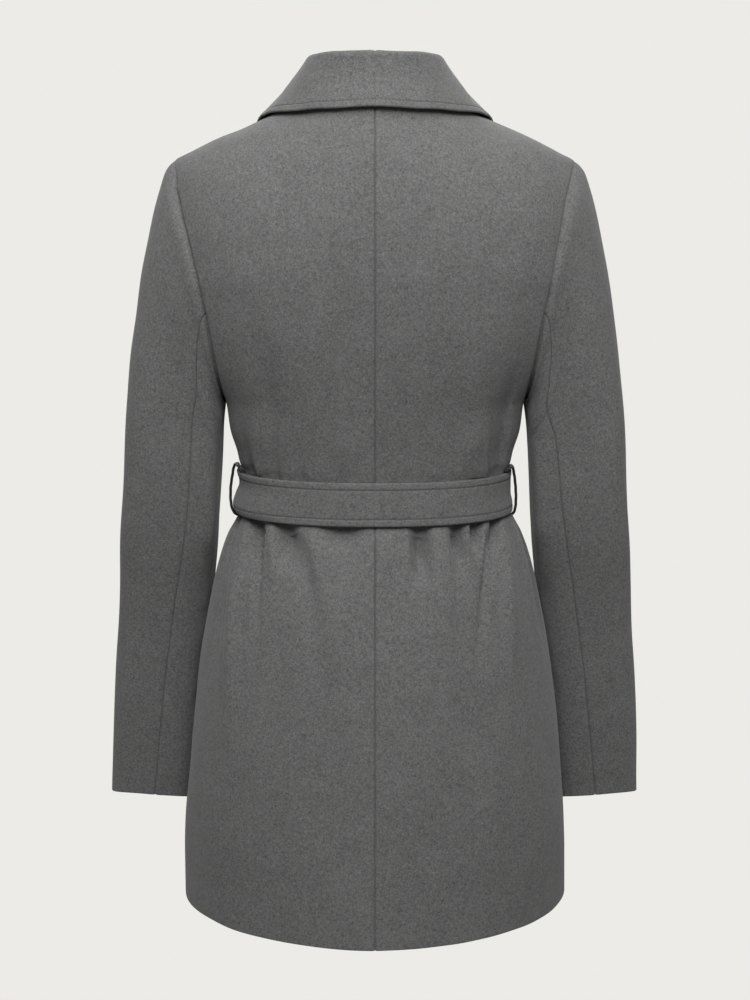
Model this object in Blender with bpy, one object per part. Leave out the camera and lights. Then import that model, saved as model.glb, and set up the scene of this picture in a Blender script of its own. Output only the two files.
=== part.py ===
"""A women's thigh-length wool wrap coat, filled out as it hangs when worn.

Built from the pieces a coat maker cuts: two backs joined by a centre back
seam, a left and a right front that wrap right over left, a fold-over shawl
collar in two halves, two-piece sleeves, and a tie belt with its knot, its two
ends and the two thin loops that carry it at the side seams.

All sizes are in millimetres. +X is the wearer's left, the fronts face -Y and
+Z is up. The origin is the middle of the neck, level with the two points where
the shoulder seams meet the collar.
"""

import bpy
import numpy as np
from mathutils import Vector
from mathutils.bvhtree import BVHTree

MM = 0.001


def table(names, rows):
    """A small table with named columns, sorted by its first column."""
    columns = np.array(sorted(rows), dtype=float).T
    return dict(zip(names.split(), columns))


# ---------------------------------------------------------------- sizes (mm)

CLOTH = 2.2               # wall of the coat cloth
SEAM_INSET = 0.20         # each piece stops this far short of a seam line

HEM_Z = -801.2
BELT_BOTTOM = -399.5
BELT_TOP = -357.5
BELT_MIDDLE = (BELT_TOP + BELT_BOTTOM) / 2
UNDERARM_Z = -288.0
YOKE_Z = -170.0           # above this level the back and the fronts curve in to the shoulder
SHOULDER_TIP_X, SHOULDER_TIP_Z = 193.5, -56.8

NECK_HALF_WIDTH = 70.0    # shoulder seam meets the collar here, at z = 0
NECK_DEPTH_BACK = 72.0

# Rings of the body. "side", "back" and "front" are the distances from the
# middle; the two powers set how square each half ring is (2 is an ellipse).
BODY = table("z side back front back_power front_power", [
    (YOKE_Z, 195.0, 118.0, 117.0, 2.50, 2.05),
    (-214.0, 184.0, 115.5, 121.0, 2.50, 2.05),
    (-250.0, 168.0, 110.5, 119.0, 2.50, 2.10),
    (-275.0, 153.5, 106.0, 115.0, 2.45, 2.15),
    (UNDERARM_Z, 147.0, 103.4, 112.0, 2.40, 2.20),
    (-318.0, 142.5, 97.2, 105.5, 2.35, 2.20),
    (-339.0, 136.5, 93.8, 101.0, 2.30, 2.20),
    (-350.0, 134.3, 92.4, 98.3, 2.25, 2.20),
    (BELT_TOP, 131.4, 91.3, 96.5, 2.20, 2.20),
    (BELT_MIDDLE, 131.0, 90.5, 95.5, 2.20, 2.20),
    (BELT_BOTTOM, 132.2, 91.3, 96.3, 2.20, 2.20),
    (-404.0, 136.6, 95.6, 100.2, 2.20, 2.20),
    (-411.0, 140.6, 99.4, 103.6, 2.20, 2.20),
    (-422.0, 146.8, 104.2, 107.8, 2.20, 2.15),
    (-457.0, 159.0, 114.5, 114.8, 2.20, 2.10),
    (-490.0, 166.0, 122.5, 119.5, 2.22, 2.05),
    (-533.0, 174.0, 130.5, 124.5, 2.22, 2.00),
    (-592.0, 182.0, 137.5, 129.0, 2.22, 1.95),
    (-655.0, 189.0, 143.0, 132.5, 2.18, 1.90),
    (-720.0, 194.5, 147.2, 136.0, 2.08, 1.87),
    (-755.0, 195.8, 150.0, 138.0, 1.96, 1.87),
    (HEM_Z, 196.0, 153.4, 140.0, 1.87, 1.88),
])

# Height of the shoulder over each distance from the middle. Inside the neck
# it is the level that the back would reach if the neck hole were not cut. The
# first row mirrors the third, which keeps the surface level at the middle.
SHOULDER = table("x back front", [
    (-35.0, 24.2, 3.0),
    (0.0, 42.0, 3.0),
    (35.0, 24.2, 3.0),
    (70.0, 0.0, 0.0),
    (120.0, -22.6, -22.6),
    (150.0, -34.8, -34.8),
    (177.0, -48.0, -48.0),
    (SHOULDER_TIP_X, SHOULDER_TIP_Z, SHOULDER_TIP_Z),
    (203.0, -68.0, -68.0),
])
YOKE_POWER = {"back": 2.2, "front": 1.9}

# Armhole seam: distance from the middle at each height, behind and in front.
ARMHOLE = table("z back front", [
    (SHOULDER_TIP_Z, SHOULDER_TIP_X, SHOULDER_TIP_X),
    (-75.0, 187.3, 185.3),
    (-93.5, 181.5, 178.0),
    (-125.0, 174.5, 169.0),
    (-157.6, 168.8, 163.0),
    (-200.0, 161.0, 157.0),
    (-232.0, 156.0, 153.5),
    (-262.0, 150.8, 150.4),
    (-278.0, 148.2, 148.2),
    (-285.0, 147.3, 147.3),
    (UNDERARM_Z, 147.0, 147.0),
])

# Front edge: distance from the middle on the panel's own side. It is the
# roll line of the lapel down to the belt, then the plain edge to the hem,
# where negative means past the middle.
FRONT_EDGE = table("z x", [
    (0.0, 70.0),
    (-25.0, 63.5),
    (-60.0, 54.5),
    (-100.0, 45.0),
    (-140.0, 34.5),
    (-170.0, 25.0),
    (-200.0, 14.0),
    (-235.0, 0.0),
    (-270.0, -15.0),
    (-300.0, -29.0),
    (-330.0, -43.5),
    (BELT_TOP, -55.0),
    (BELT_MIDDLE, -60.5),
    (BELT_BOTTOM, -64.0),
    (-457.0, -70.0),
    (-600.0, -79.0),
    (HEM_Z, -90.0),
])

# The right front passes over the left one and its lapel.
OVERLAP = 8.5
OVERLAP_FULL = 0.54       # share of the half width inside which it is fully lifted
OVERLAP_NONE = 0.86
OVERLAP_TOP = -130.0
OVERLAP_WHOLE = -200.0

# Folds, as troughs pressed into the cloth (a negative depth is a ridge).
# "at" is the place as a share of the way from the middle to the side, + on
# the wearer's left. "toward_right" and "toward_left" are its reach either way.
# It begins at "top", is deepest at "deep" and fades out by "foot", which are
# heights, and it moves by "drift" towards the wearer's left on the way down.
FOLD_COLUMNS = "face at toward_right toward_left depth top deep foot drift"
FOLDS = [
    ("back", 0.775, 0.035, 0.080, 6.5, BELT_BOTTOM, -412.0, -600.0, -0.20),
    ("back", 0.560, 0.060, 0.070, 5.0, BELT_BOTTOM, -410.0, -540.0, -0.40),
    ("back", 0.190, 0.110, 0.120, 3.2, BELT_BOTTOM, -405.0, -450.0, 0.00),
    ("back", -0.283, 0.060, 0.060, 4.5, BELT_BOTTOM, -409.0, -480.0, 0.00),
    ("back", -0.540, 0.060, 0.055, 4.5, BELT_BOTTOM, -409.0, -460.0, 0.00),
    ("back", -0.690, 0.055, 0.055, 4.5, BELT_BOTTOM, -408.0, -450.0, 0.00),
    ("back", -0.820, 0.075, 0.050, 5.0, BELT_BOTTOM, -411.0, -600.0, 0.40),
    ("back", 0.885, 0.080, 0.070, -3.5, -402.0, -450.0, -700.0, -0.08),
    ("back", -0.880, 0.070, 0.070, -3.0, -402.0, -450.0, -640.0, 0.08),
    ("back", 0.700, 0.040, 0.070, 3.2, -190.0, -330.0, BELT_BOTTOM, 0.04),
    ("back", 0.540, 0.060, 0.050, 2.2, -300.0, -352.0, BELT_BOTTOM, 0.00),
    ("back", 0.260, 0.110, 0.110, 2.4, -180.0, -345.0, BELT_BOTTOM, 0.00),
    ("back", -0.480, 0.120, 0.120, 2.0, -200.0, -285.0, BELT_BOTTOM, -0.04),
    ("back", -0.770, 0.090, 0.035, 4.5, -240.0, -345.0, BELT_BOTTOM, -0.06),
    ("front", 0.700, 0.060, 0.060, 4.5, BELT_BOTTOM, -412.0, -570.0, 0.02),
    ("front", 0.520, 0.060, 0.060, 4.0, BELT_BOTTOM, -410.0, -500.0, 0.00),
    ("front", -0.300, 0.070, 0.070, 3.5, BELT_BOTTOM, -410.0, -480.0, 0.00),
    ("front", -0.520, 0.060, 0.060, 4.5, BELT_BOTTOM, -412.0, -540.0, -0.03),
    ("front", -0.720, 0.060, 0.060, 4.0, BELT_BOTTOM, -410.0, -600.0, -0.02),
    ("front", 0.640, 0.070, 0.070, 3.0, -280.0, -350.0, BELT_BOTTOM, 0.00),
    ("front", -0.660, 0.070, 0.070, 3.0, -270.0, -350.0, BELT_BOTTOM, 0.00),
]

# Sleeve sections from the armhole to the hem: the outer and the inner point,
# the fore-and-aft middle and half depth, how far the back of the section is
# raised, the share of the armhole's own shape that it has already lost, and how
# square it is (2 is an ellipse).
SLEEVE = table("order outer_x outer_z inner_x inner_z middle_y half_depth back_rise settled power", [
    (0, SHOULDER_TIP_X, SHOULDER_TIP_Z, 147.0, UNDERARM_Z, 0.0, 66.0, 0.0, 0.00, 2.5),
    (1, 201.8, -65.5, 147.6, -291.0, 0.0, 66.0, 0.0, 0.20, 2.5),
    (2, 209.5, -86.5, 148.3, -294.0, -3.0, 65.0, 0.0, 0.40, 2.5),
    (3, 219.0, -122.0, 149.0, -297.5, -6.5, 62.5, 0.0, 0.60, 2.6),
    (4, 227.5, -161.0, 149.8, -302.0, -9.5, 60.0, 0.0, 0.76, 2.7),
    (5, 233.6, -203.0, 150.6, -308.0, -6.5, 56.5, 0.0, 0.88, 2.8),
    (6, 240.0, -248.0, 151.6, -318.0, -6.5, 53.0, 0.0, 0.96, 3.0),
    (7, 244.6, -292.0, 152.6, -333.0, -7.0, 50.0, 0.0, 1.00, 3.3),
    (8, 248.3, -337.0, 154.0, -356.0, -9.0, 48.0, 0.0, 1.00, 3.5),
    (9, 252.0, -385.0, 156.0, -390.0, -13.0, 46.0, 0.0, 1.00, 3.5),
    (10, 256.4, -430.0, 159.0, -431.0, -19.0, 43.0, 0.0, 1.00, 3.4),
    (11, 260.2, -476.0, 164.2, -478.0, -28.5, 39.0, 0.0, 1.00, 3.2),
    (12, 264.3, -524.0, 169.6, -527.0, -38.0, 37.0, 0.0, 1.00, 3.0),
    (13, 269.3, -572.0, 175.2, -577.0, -45.5, 35.6, 0.0, 1.00, 2.8),
    (14, 272.9, -620.0, 180.0, -627.0, -52.2, 34.3, 0.5, 1.00, 2.7),
    (15, 276.6, -668.0, 185.0, -675.0, -59.0, 33.0, 2.0, 1.00, 2.6),
    (16, 279.2, -714.5, 189.5, -721.0, -65.0, 32.0, 7.5, 1.00, 2.6),
])
# Angles of the two sleeve seams round the section, 0 outside and 90 behind.
SLEEVE_SEAMS = table("order back front", [
    (0, 112.0, -118.0),
    (9, 103.0, -124.0),
    (12, 96.0, -124.0),
    (16, 92.0, -124.0),
])
SLEEVE_SEAM_ROW_BACK = -200.0
SLEEVE_SEAM_ROW_FRONT = -232.0

# Collar: stations along its seam, as distance from the centre back. The outer
# edge is given by its place and its distance off the cloth beneath it. The
# stand leans in towards the neck by "lean" for each millimetre that it rises.
# The first row mirrors the third, as in the shoulder's table.
COLLAR = table("along stand lean roll edge_x edge_y edge_z off", [
    (-34.0, 36.2, 0.18, 4.2, -34.0, 80.0, -11.2, 7.2),
    (0.0, 31.0, 0.16, 4.2, 0.0, 86.8, -10.4, 7.4),
    (34.0, 36.2, 0.18, 4.2, 34.0, 80.0, -11.2, 7.2),
    (62.0, 37.4, 0.24, 4.3, 57.0, 64.2, -13.3, 6.8),
    (84.0, 37.5, 0.30, 4.4, 77.0, 46.0, -16.6, 6.4),
    (105.0, 36.0, 0.34, 4.5, 92.0, 25.0, -21.6, 6.4),
    (122.0, 31.0, 0.34, 4.5, 105.0, -3.0, -27.4, 9.0),
    (142.0, 24.0, 0.30, 4.4, 117.4, -37.0, -41.0, 7.0),
    (170.0, 16.0, 0.20, 4.0, 124.0, -65.5, -71.5, 5.5),
    (205.0, 10.0, 0.20, 3.4, 120.0, -84.0, -112.0, 5.6),
    (245.0, 7.0, 0.20, 2.8, 109.0, -97.0, -155.0, 5.4),
    (285.0, 5.0, 0.20, 2.4, 92.0, -107.0, -200.0, 5.5),
    (325.0, 4.0, 0.20, 2.3, 68.0, -114.0, -248.0, 5.0),
    (365.0, 3.4, 0.20, 2.3, 38.0, -112.0, -292.0, 4.8),
    (405.0, 2.8, 0.20, 2.3, 2.0, -104.0, -326.0, 4.6),
    (455.0, 2.4, 0.20, 2.3, -44.0, -94.0, -352.0, 4.6),
])
COLLAR_GAP = 0.60         # between the panel's neck edge and the collar
COLLAR_CLEAR = 3.3        # least room between the turned-down collar and the cloth under it
COLLAR_SAG = 0.17         # the turned-down part hangs in by this share of its height
COLLAR_SAG_ENDS = (35.0, 75.0)    # and no longer does beyond these stations
LAPEL_FOOT_Z = -345.0
COLLAR_FALL_STEPS = 6
COLLAR_ROLL_STEPS = 4
COLLAR_STAND_STEPS = (0.1, 0.55)
COLLAR_TURN = 1.6         # how far into the neck the collar steps before it stands up

BELT_CLOTH = 3.0
# The band: how far its inner face is off the waist at each height, and how much
# further off it is at the side seam on either hand.
BELT = table("z off left right", [
    (BELT_TOP, 1.3, 2.3, 0.1),
    (-371.0, 1.9, -0.8, -0.9),
    (-381.0, 2.3, 2.5, -1.2),
    (-391.0, 2.6, 5.0, 0.5),
    (BELT_BOTTOM, 3.0, 2.1, -0.2),
])
BELT_STATIONS = 60

KNOT_SIZE = (44.0, 21.0, 46.0)
KNOT_CLEAR = 0.4          # between the knot and the band behind it
KNOT_POWER = 3.0          # above 2, squarer than a ball
KNOT_AROUND, KNOT_LEVELS = 20, 9

# Hanging belt ends: middle, half width and distance off the right front.
BELT_ENDS = {
    "belt_end_left": table("z middle half_width off", [
        (-403.6, 11.5, 9.5, 9.0), (-416.0, 14.5, 13.0, 6.0),
        (-440.0, 20.0, 18.0, 2.2), (-480.0, 23.0, 19.2, 1.2),
        (-560.0, 28.5, 19.2, 1.2), (-648.0, 33.0, 19.2, 1.2),
    ]),
    "belt_end_right": table("z middle half_width off", [
        (-403.6, -11.5, 9.5, 9.0), (-416.0, -14.5, 13.0, 6.0),
        (-440.0, -20.0, 18.0, 2.2), (-480.0, -22.0, 19.2, 1.2),
        (-560.0, -24.0, 19.2, 1.2), (-624.0, -26.0, 19.2, 1.2),
    ]),
}
BELT_END_ROWS = 14
BELT_END_COLUMNS = 4

# Belt carriers: the middle line of each beside the body, from top to foot.
CARRIERS = {
    "left": [
        (136.6, -351.8), (139.6, -354.4), (141.0, -358.6), (142.2, -364.6), (143.4, -371.5),
        (144.2, -379.0), (144.4, -387.0), (143.8, -394.2), (142.0, -400.4), (139.2, -403.8),
    ],
    "right": [
        (135.2, -353.4), (136.8, -355.6), (137.8, -360.0), (138.4, -366.5), (139.2, -374.0),
        (139.9, -382.0), (140.2, -389.5), (140.0, -396.0), (139.4, -400.6), (138.7, -403.6),
    ],
}
CARRIER_WIDTH = 6.0
CARRIER_CLOTH = 2.8

# Mesh rows of the body, and columns of its panels.
BODY_ROWS = [
    HEM_Z, -740.0, -675.0, -615.0, -560.0, -514.0, -480.0, -453.0, -431.0, -415.0,
    -401.0, BELT_MIDDLE, BELT_TOP, -345.0, -318.0, UNDERARM_Z, -285.0, -278.0, -262.0, -232.0,
    -200.0, YOKE_Z,
]
YOKE_ROWS = 7
BACK_COLUMNS = 20
NECK_COLUMNS = 7          # of the back's columns, these end at the neck
FRONT_COLUMNS = 15

SHARP_ANGLE = np.radians(50.0)

WOOL_GREY = (0.125, 0.125, 0.125, 1.0)
SEAM_DARK = (0.020, 0.020, 0.020, 1.0)


# ------------------------------------------------------------ small helpers

def read(tbl, column, at):
    """Smooth value of one column of a table, never overshooting its rows."""
    keys = next(iter(tbl.values()))
    values = tbl[column]
    steps = np.diff(keys)
    slopes = np.diff(values) / steps
    inner = np.zeros(len(keys))
    for i in range(1, len(keys) - 1):
        if slopes[i - 1] * slopes[i] > 0:
            before, after = 2 * steps[i] + steps[i - 1], steps[i] + 2 * steps[i - 1]
            inner[i] = (before + after) / (before / slopes[i - 1] + after / slopes[i])
    inner[0], inner[-1] = slopes[0], slopes[-1]
    at = np.clip(np.asarray(at, dtype=float), keys[0], keys[-1])
    i = np.clip(np.searchsorted(keys, at) - 1, 0, len(steps) - 1)
    t = (at - keys[i]) / steps[i]
    return ((1 + 2 * t) * (1 - t) ** 2 * values[i] + t * (1 - t) ** 2 * steps[i] * inner[i]
            + t * t * (3 - 2 * t) * values[i + 1] + t * t * (t - 1) * steps[i] * inner[i + 1])


def ease(start, end, at):
    """0 before start, 1 after end, and smooth between them."""
    t = np.clip((np.asarray(at, dtype=float) - start) / (end - start), 0.0, 1.0)
    return t * t * (3 - 2 * t)


def unit(vectors):
    length = np.linalg.norm(vectors, axis=-1, keepdims=True)
    return vectors / np.maximum(length, 1e-9)


def points(x, y, z):
    return np.stack(np.broadcast_arrays(x, y, z), axis=-1).astype(float)


def grid_normals(grid, outward):
    """Unit normals of a grid of points, on the side that `outward` points to."""
    along = np.gradient(grid, axis=0)
    across = np.gradient(grid, axis=1)
    normals = unit(np.cross(along, across))
    if np.sum(normals * outward) < 0:
        normals = -normals
    return normals


# ------------------------------------------------------------- body surface

def ring_side(z):
    return read(BODY, "side", z)


def fold_depth(face, share, z):
    """How far the folds press the cloth in, at a signed share of the half width."""
    depth = np.zeros(np.broadcast(share, z).shape)
    for row in FOLDS:
        fold = dict(zip(FOLD_COLUMNS.split(), row))
        if fold["face"] != face:
            continue
        down = np.clip((fold["top"] - z) / (fold["top"] - fold["foot"]), 0.0, 1.0)
        middle = fold["at"] + fold["drift"] * down
        away = share - middle
        reach = np.where(away < 0, fold["toward_right"], fold["toward_left"])
        across = 0.5 + 0.5 * np.cos(np.pi * np.clip(np.abs(away) / reach, 0.0, 1.0))
        fade = ease(fold["top"], fold["deep"], z) * (1 - ease(fold["deep"], fold["foot"], z))
        depth += fold["depth"] * across * fade
    return depth


def ring_points(face, angle, z, lift=0.0):
    """Points of the ring at height z; angle 0 is the middle, +90 the left side."""
    side, reach = ring_side(z), read(BODY, face, z)
    power = read(BODY, face + "_power", z)
    turn = np.radians(angle)
    front_or_back = 1.0 if face == "back" else -1.0
    share_x = np.sign(turn) * np.abs(np.sin(turn)) ** (2 / power)
    share_y = front_or_back * np.abs(np.cos(turn)) ** (2 / power)
    slope_x = np.sign(share_x) * np.abs(share_x) ** (power - 1) / side
    slope_y = front_or_back * np.abs(share_y) ** (power - 1) / reach
    steep = np.hypot(slope_x, slope_y)
    move = lift - fold_depth(face, share_x, z)
    return points(side * share_x + move * slope_x / steep,
                  reach * share_y + move * slope_y / steep, z)


def ring_angle(face, x, z):
    """Angle at which the ring at height z passes x."""
    power = read(BODY, face + "_power", z)
    share = np.clip(np.abs(x) / ring_side(z), 0.0, 1.0)
    return np.sign(x) * np.degrees(np.arcsin(share ** (power / 2)))


def yoke_points(face, x, climb):
    """Points above the yoke line; climb runs from 0 there to 90 at the shoulder."""
    side, reach = ring_side(YOKE_Z), read(BODY, face, YOKE_Z)
    power = read(BODY, face + "_power", YOKE_Z)
    deepest = reach * (1 - np.clip(np.abs(x) / side, 0.0, 1.0) ** power) ** (1 / power)
    top = read(SHOULDER, face, np.abs(x))
    turn = np.radians(climb)
    arc = 2 / YOKE_POWER[face]
    front_or_back = 1.0 if face == "back" else -1.0
    return points(x, front_or_back * deepest * np.cos(turn).clip(0.0) ** arc,
                  YOKE_Z + (top - YOKE_Z) * np.sin(turn) ** arc)


def edge_on_yoke(face, edge, column, climb):
    """Distance from the middle at which an edge passes the yoke row at `climb`."""
    x = read(edge, column, YOKE_Z)
    for _ in range(12):
        x = 0.5 * x + 0.5 * read(edge, column, yoke_points(face, x, climb)[..., 2])
    return x


def overlap_lift(own_x, z):
    """How far the right front stands off the left one; own_x is + on its own side."""
    across = 1 - ease(OVERLAP_FULL, OVERLAP_NONE, own_x / ring_side(z))
    down = 1 - ease(OVERLAP_WHOLE, OVERLAP_TOP, z)
    return OVERLAP * across * down


# ------------------------------------------------------------------- panels

def back_panel(side):
    """Rows of points from hem to neck and shoulder, columns from the middle to the side."""
    share = np.linspace(0.0, 1.0, BACK_COLUMNS + 1)
    rows = []
    for z in BODY_ROWS:
        widest = 90.0
        if z > UNDERARM_Z:
            widest = float(ring_angle("back", read(ARMHOLE, "back", z), z))
        rows.append(ring_points("back", side * share * widest, z))
    neck_share = NECK_COLUMNS / BACK_COLUMNS
    start_x = np.abs(rows[-1][:, 0])
    round_neck = np.radians(90.0 * np.minimum(share / neck_share, 1.0))
    along_shoulder = np.clip((share - neck_share) / (1 - neck_share), 0.0, 1.0)
    end_x = (NECK_HALF_WIDTH * np.sin(round_neck)
             + (SHOULDER_TIP_X - NECK_HALF_WIDTH) * along_shoulder)
    deepest = yoke_points("back", end_x, 0.0)[:, 1]
    neck_y = NECK_DEPTH_BACK * np.cos(round_neck)
    end_climb = np.degrees(np.arccos(np.clip(neck_y / deepest, 0, 1) ** (YOKE_POWER["back"] / 2)))
    for step in range(1, YOKE_ROWS + 1):
        up = step / YOKE_ROWS
        x = (1 - up) * start_x + up * end_x
        x = x + share ** 2 * (edge_on_yoke("back", ARMHOLE, "back", 90.0 * up) - x[-1])
        rows.append(yoke_points("back", x, up * end_climb) * (side, 1, 1))
    return np.array(rows)


def front_panel(side):
    """Rows from hem to shoulder, columns from the front edge to the side."""
    share = np.linspace(0.0, 1.0, FRONT_COLUMNS + 1)
    over = side < 0
    rows = []
    for z in BODY_ROWS:
        widest = 90.0
        if z > UNDERARM_Z:
            widest = float(ring_angle("front", read(ARMHOLE, "front", z), z))
        edge = float(ring_angle("front", read(FRONT_EDGE, "x", z), z))
        angle = edge + share * (widest - edge)
        lift = 0.0
        if over:
            lift = overlap_lift(side * ring_points("front", side * angle, z)[:, 0], z)
        rows.append(ring_points("front", side * angle, z, lift))
    start_x = side * rows[-1][:, 0]
    end_x = NECK_HALF_WIDTH + (SHOULDER_TIP_X - NECK_HALF_WIDTH) * share
    for step in range(1, YOKE_ROWS + 1):
        up = step / YOKE_ROWS
        x = (1 - up) * start_x + up * end_x
        x = x + (1 - share) ** 2 * (edge_on_yoke("front", FRONT_EDGE, "x", 90.0 * up) - x[0])
        x = x + share ** 2 * (edge_on_yoke("front", ARMHOLE, "front", 90.0 * up) - x[-1])
        row = yoke_points("front", x, 90.0 * up) * (side, 1, 1)
        if over:
            row[:, 1] -= overlap_lift(x, row[:, 2])
        rows.append(row)
    return np.array(rows)


def shoulder_normals(x):
    slope = (read(SHOULDER, "back", np.abs(x) + 1) - read(SHOULDER, "back", np.abs(x) - 1)) / 2
    return unit(points(-np.sign(x) * slope, 0.0, 1.0))


def outward_from_axis(grid):
    return grid * (1.0, 1.0, 0.0)


def armhole_loop(back, front):
    """The seam from the underarm up behind, over the shoulder and down in front."""
    first = BODY_ROWS.index(UNDERARM_Z)
    return np.concatenate([back[first:, -1], front[first:-1, -1][::-1]])


def sleeve_grid(side, loop):
    """Sections of a whole sleeve from the armhole seam to the hem."""
    top = points(side * SLEEVE["outer_x"], 0.0, SLEEVE["outer_z"])
    low = points(side * SLEEVE["inner_x"], 0.0, SLEEVE["inner_z"])
    middle, half = (top + low) / 2, (top - low) / 2
    away = loop - middle[0]
    height = away @ half[0] / (half[0] @ half[0])
    depth = away[:, 1]
    rest = away - height[:, None] * half[0] - points(0.0, depth, 0.0)
    angle = np.degrees(np.arctan2(depth / SLEEVE["half_depth"][0], height))
    angle[0], angle[-1] = 180.0, -180.0
    joints = seam_columns()
    rings = []
    for i in range(len(SLEEVE["order"])):
        seams = [180.0, read(SLEEVE_SEAMS, "back", i), 0.0,
                 read(SLEEVE_SEAMS, "front", i), -180.0]
        even = np.interp(np.arange(len(loop)), joints, seams)
        settled = SLEEVE["settled"][i]
        turn = np.radians((1 - settled) * angle + settled * even)
        round_off = 2 / SLEEVE["power"][i]
        ring_height = np.sign(np.cos(turn)) * np.abs(np.cos(turn)) ** round_off
        ring_depth = (np.sign(np.sin(turn)) * np.abs(np.sin(turn)) ** round_off
                      * SLEEVE["half_depth"][i])
        h = (1 - settled) * height + settled * ring_height
        y = (1 - settled) * depth + settled * ring_depth + SLEEVE["middle_y"][i]
        rise = SLEEVE["back_rise"][i] * np.sin(turn)
        rings.append(middle[i] + h[:, None] * half[i] + points(0.0, y, rise)
                     + (1 - settled) * rest)
    return np.array(rings)


def seam_columns():
    """Columns of the sleeve: underarm, back seam, shoulder, front seam, underarm."""
    first = BODY_ROWS.index(UNDERARM_Z)
    shoulder = len(BODY_ROWS) + YOKE_ROWS - 1 - first
    last = 2 * shoulder
    return [0, BODY_ROWS.index(SLEEVE_SEAM_ROW_BACK) - first, shoulder,
            last - (BODY_ROWS.index(SLEEVE_SEAM_ROW_FRONT) - first), last]


def sleeve_normals(grid):
    """Normals of a closed sleeve, with the first and last column as one."""
    axis = grid.mean(axis=1, keepdims=True)
    wrapped = np.concatenate([grid[:, -2:-1], grid, grid[:, 1:2]], axis=1)
    outward = np.concatenate([(grid - axis)[:, -2:-1], grid - axis, (grid - axis)[:, 1:2]], axis=1)
    return grid_normals(wrapped, outward)[:, 1:-1]


# ------------------------------------------------------------------- collar

def skin_of(*grids):
    """The outer faces of some panels, as one tree to measure heights from."""
    vertices, faces = [], []
    for grid in grids:
        rows, columns = grid.shape[:2]
        first = len(vertices)
        vertices += [tuple(v) for v in grid.reshape(-1, 3)]
        for r in range(rows - 1):
            for c in range(columns - 1):
                a = first + r * columns + c
                faces.append((a, a + 1, a + 1 + columns, a + columns))
    return BVHTree.FromPolygons(vertices, faces)


def over_skin(spot, skin, least, most, less=0.0):
    """Move a point until its height over the skin, taken less a share, is in the range."""
    for _ in range(4):
        place, normal, _, _ = skin.find_nearest(Vector(spot))
        away = np.array(normal)
        if np.dot(away, np.array(place) * (1.0, 1.0, 0.0)) < 0:
            away = -away
        height = np.dot(spot - np.array(place), away)
        spot = spot + (np.clip((1 - less) * height, least, most) - height) * away
        less = 0.0
    return spot


def collar_grid(side, seam, seam_normals, opening, skin):
    """Middle surface of a collar half: stations along the seam, then up, over and down."""
    along = np.concatenate([[0.0], np.cumsum(np.linalg.norm(np.diff(seam, axis=0), axis=1))])
    neck_length = along[NECK_COLUMNS]
    rows = []
    for j, spot in enumerate(seam):
        normal = seam_normals[j]
        stand, roll = read(COLLAR, "stand", along[j]), read(COLLAR, "roll", along[j])
        flat = ease(neck_length, neck_length + 70.0, along[j])
        level = unit(spot * (1.0, 1.0, 0.0)) if along[j] <= neck_length else np.array((side, 0, 0))
        lean = read(COLLAR, "lean", along[j])
        rise = unit((1 - flat) * (np.array((0, 0, 1.0)) - lean * level) + flat * opening[j])
        outward = (1 - flat) * level + flat * normal
        outward = unit(outward - (outward @ rise) * rise)
        foot = spot - 0.5 * CLOTH * normal + COLLAR_GAP * opening[j]
        base = foot + COLLAR_TURN * abs(rise @ normal) * opening[j]
        edge = np.array([side * read(COLLAR, "edge_x", along[j]),
                         read(COLLAR, "edge_y", along[j]), read(COLLAR, "edge_z", along[j])])
        off = read(COLLAR, "off", along[j]) - 0.5 * CLOTH
        edge = over_skin(edge, skin, off, off)
        top = base + stand * rise
        centre = top + roll * outward
        down = unit(edge - centre)
        turned = np.pi - np.arctan2(max(down @ outward, 0.0), max(-(down @ rise), 0.2))
        arc = np.linspace(0.0, turned, COLLAR_ROLL_STEPS + 1)[:, None]
        bend = centre - roll * np.cos(arc) * outward + roll * np.sin(arc) * rise
        fall = np.linspace(0.0, 1.0, COLLAR_FALL_STEPS + 1)[1:, None]
        drop = bend[-1] + fall * (edge - bend[-1])
        sag = COLLAR_SAG * (1 - ease(*COLLAR_SAG_ENDS, along[j])) * np.sin(np.pi * fall[:, 0])
        drop = [over_skin(spot, skin, 0.5 * CLOTH + COLLAR_CLEAR, np.inf, less)
                for spot, less in zip(drop, sag)]
        stood = [foot] + [base + share * stand * rise for share in COLLAR_STAND_STEPS]
        rows.append(np.concatenate([stood, bend, drop]))
    return np.array(rows)


# -------------------------------------------------------------------- belt

def belt_base(angle, z, off):
    """The waist ring moved out; angle runs once round from the centre back."""
    turn = (angle + 180.0) % 360.0 - 180.0
    behind = np.abs(turn) <= 90.0
    face_angle = np.where(behind, turn, np.sign(turn) * (180.0 - np.abs(turn)))
    spots = []
    for a, is_back in zip(face_angle, behind):
        face = "back" if is_back else "front"
        side, reach = ring_side(BELT_MIDDLE), read(BODY, face, BELT_MIDDLE)
        power = read(BODY, face + "_power", BELT_MIDDLE)
        sx = np.sign(a) * abs(np.sin(np.radians(a))) ** (2 / power)
        sy = abs(np.cos(np.radians(a))) ** (2 / power) * (1 if is_back else -1)
        slope = unit(np.array([np.sign(sx) * abs(sx) ** (power - 1) / side,
                               np.sign(sy) * abs(sy) ** (power - 1) / reach]))
        lift = (off + read(BELT, "left", z) * ease(0.5, 1.0, sx)
                + read(BELT, "right", z) * ease(0.5, 1.0, -sx))
        if not is_back:
            lift += OVERLAP * (1 - ease(OVERLAP_FULL, OVERLAP_NONE, abs(sx)))
        spots.append((side * sx + lift * slope[0], reach * sy + lift * slope[1], z))
    return np.array(spots)


# ------------------------------------------------------------ mesh building

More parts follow.
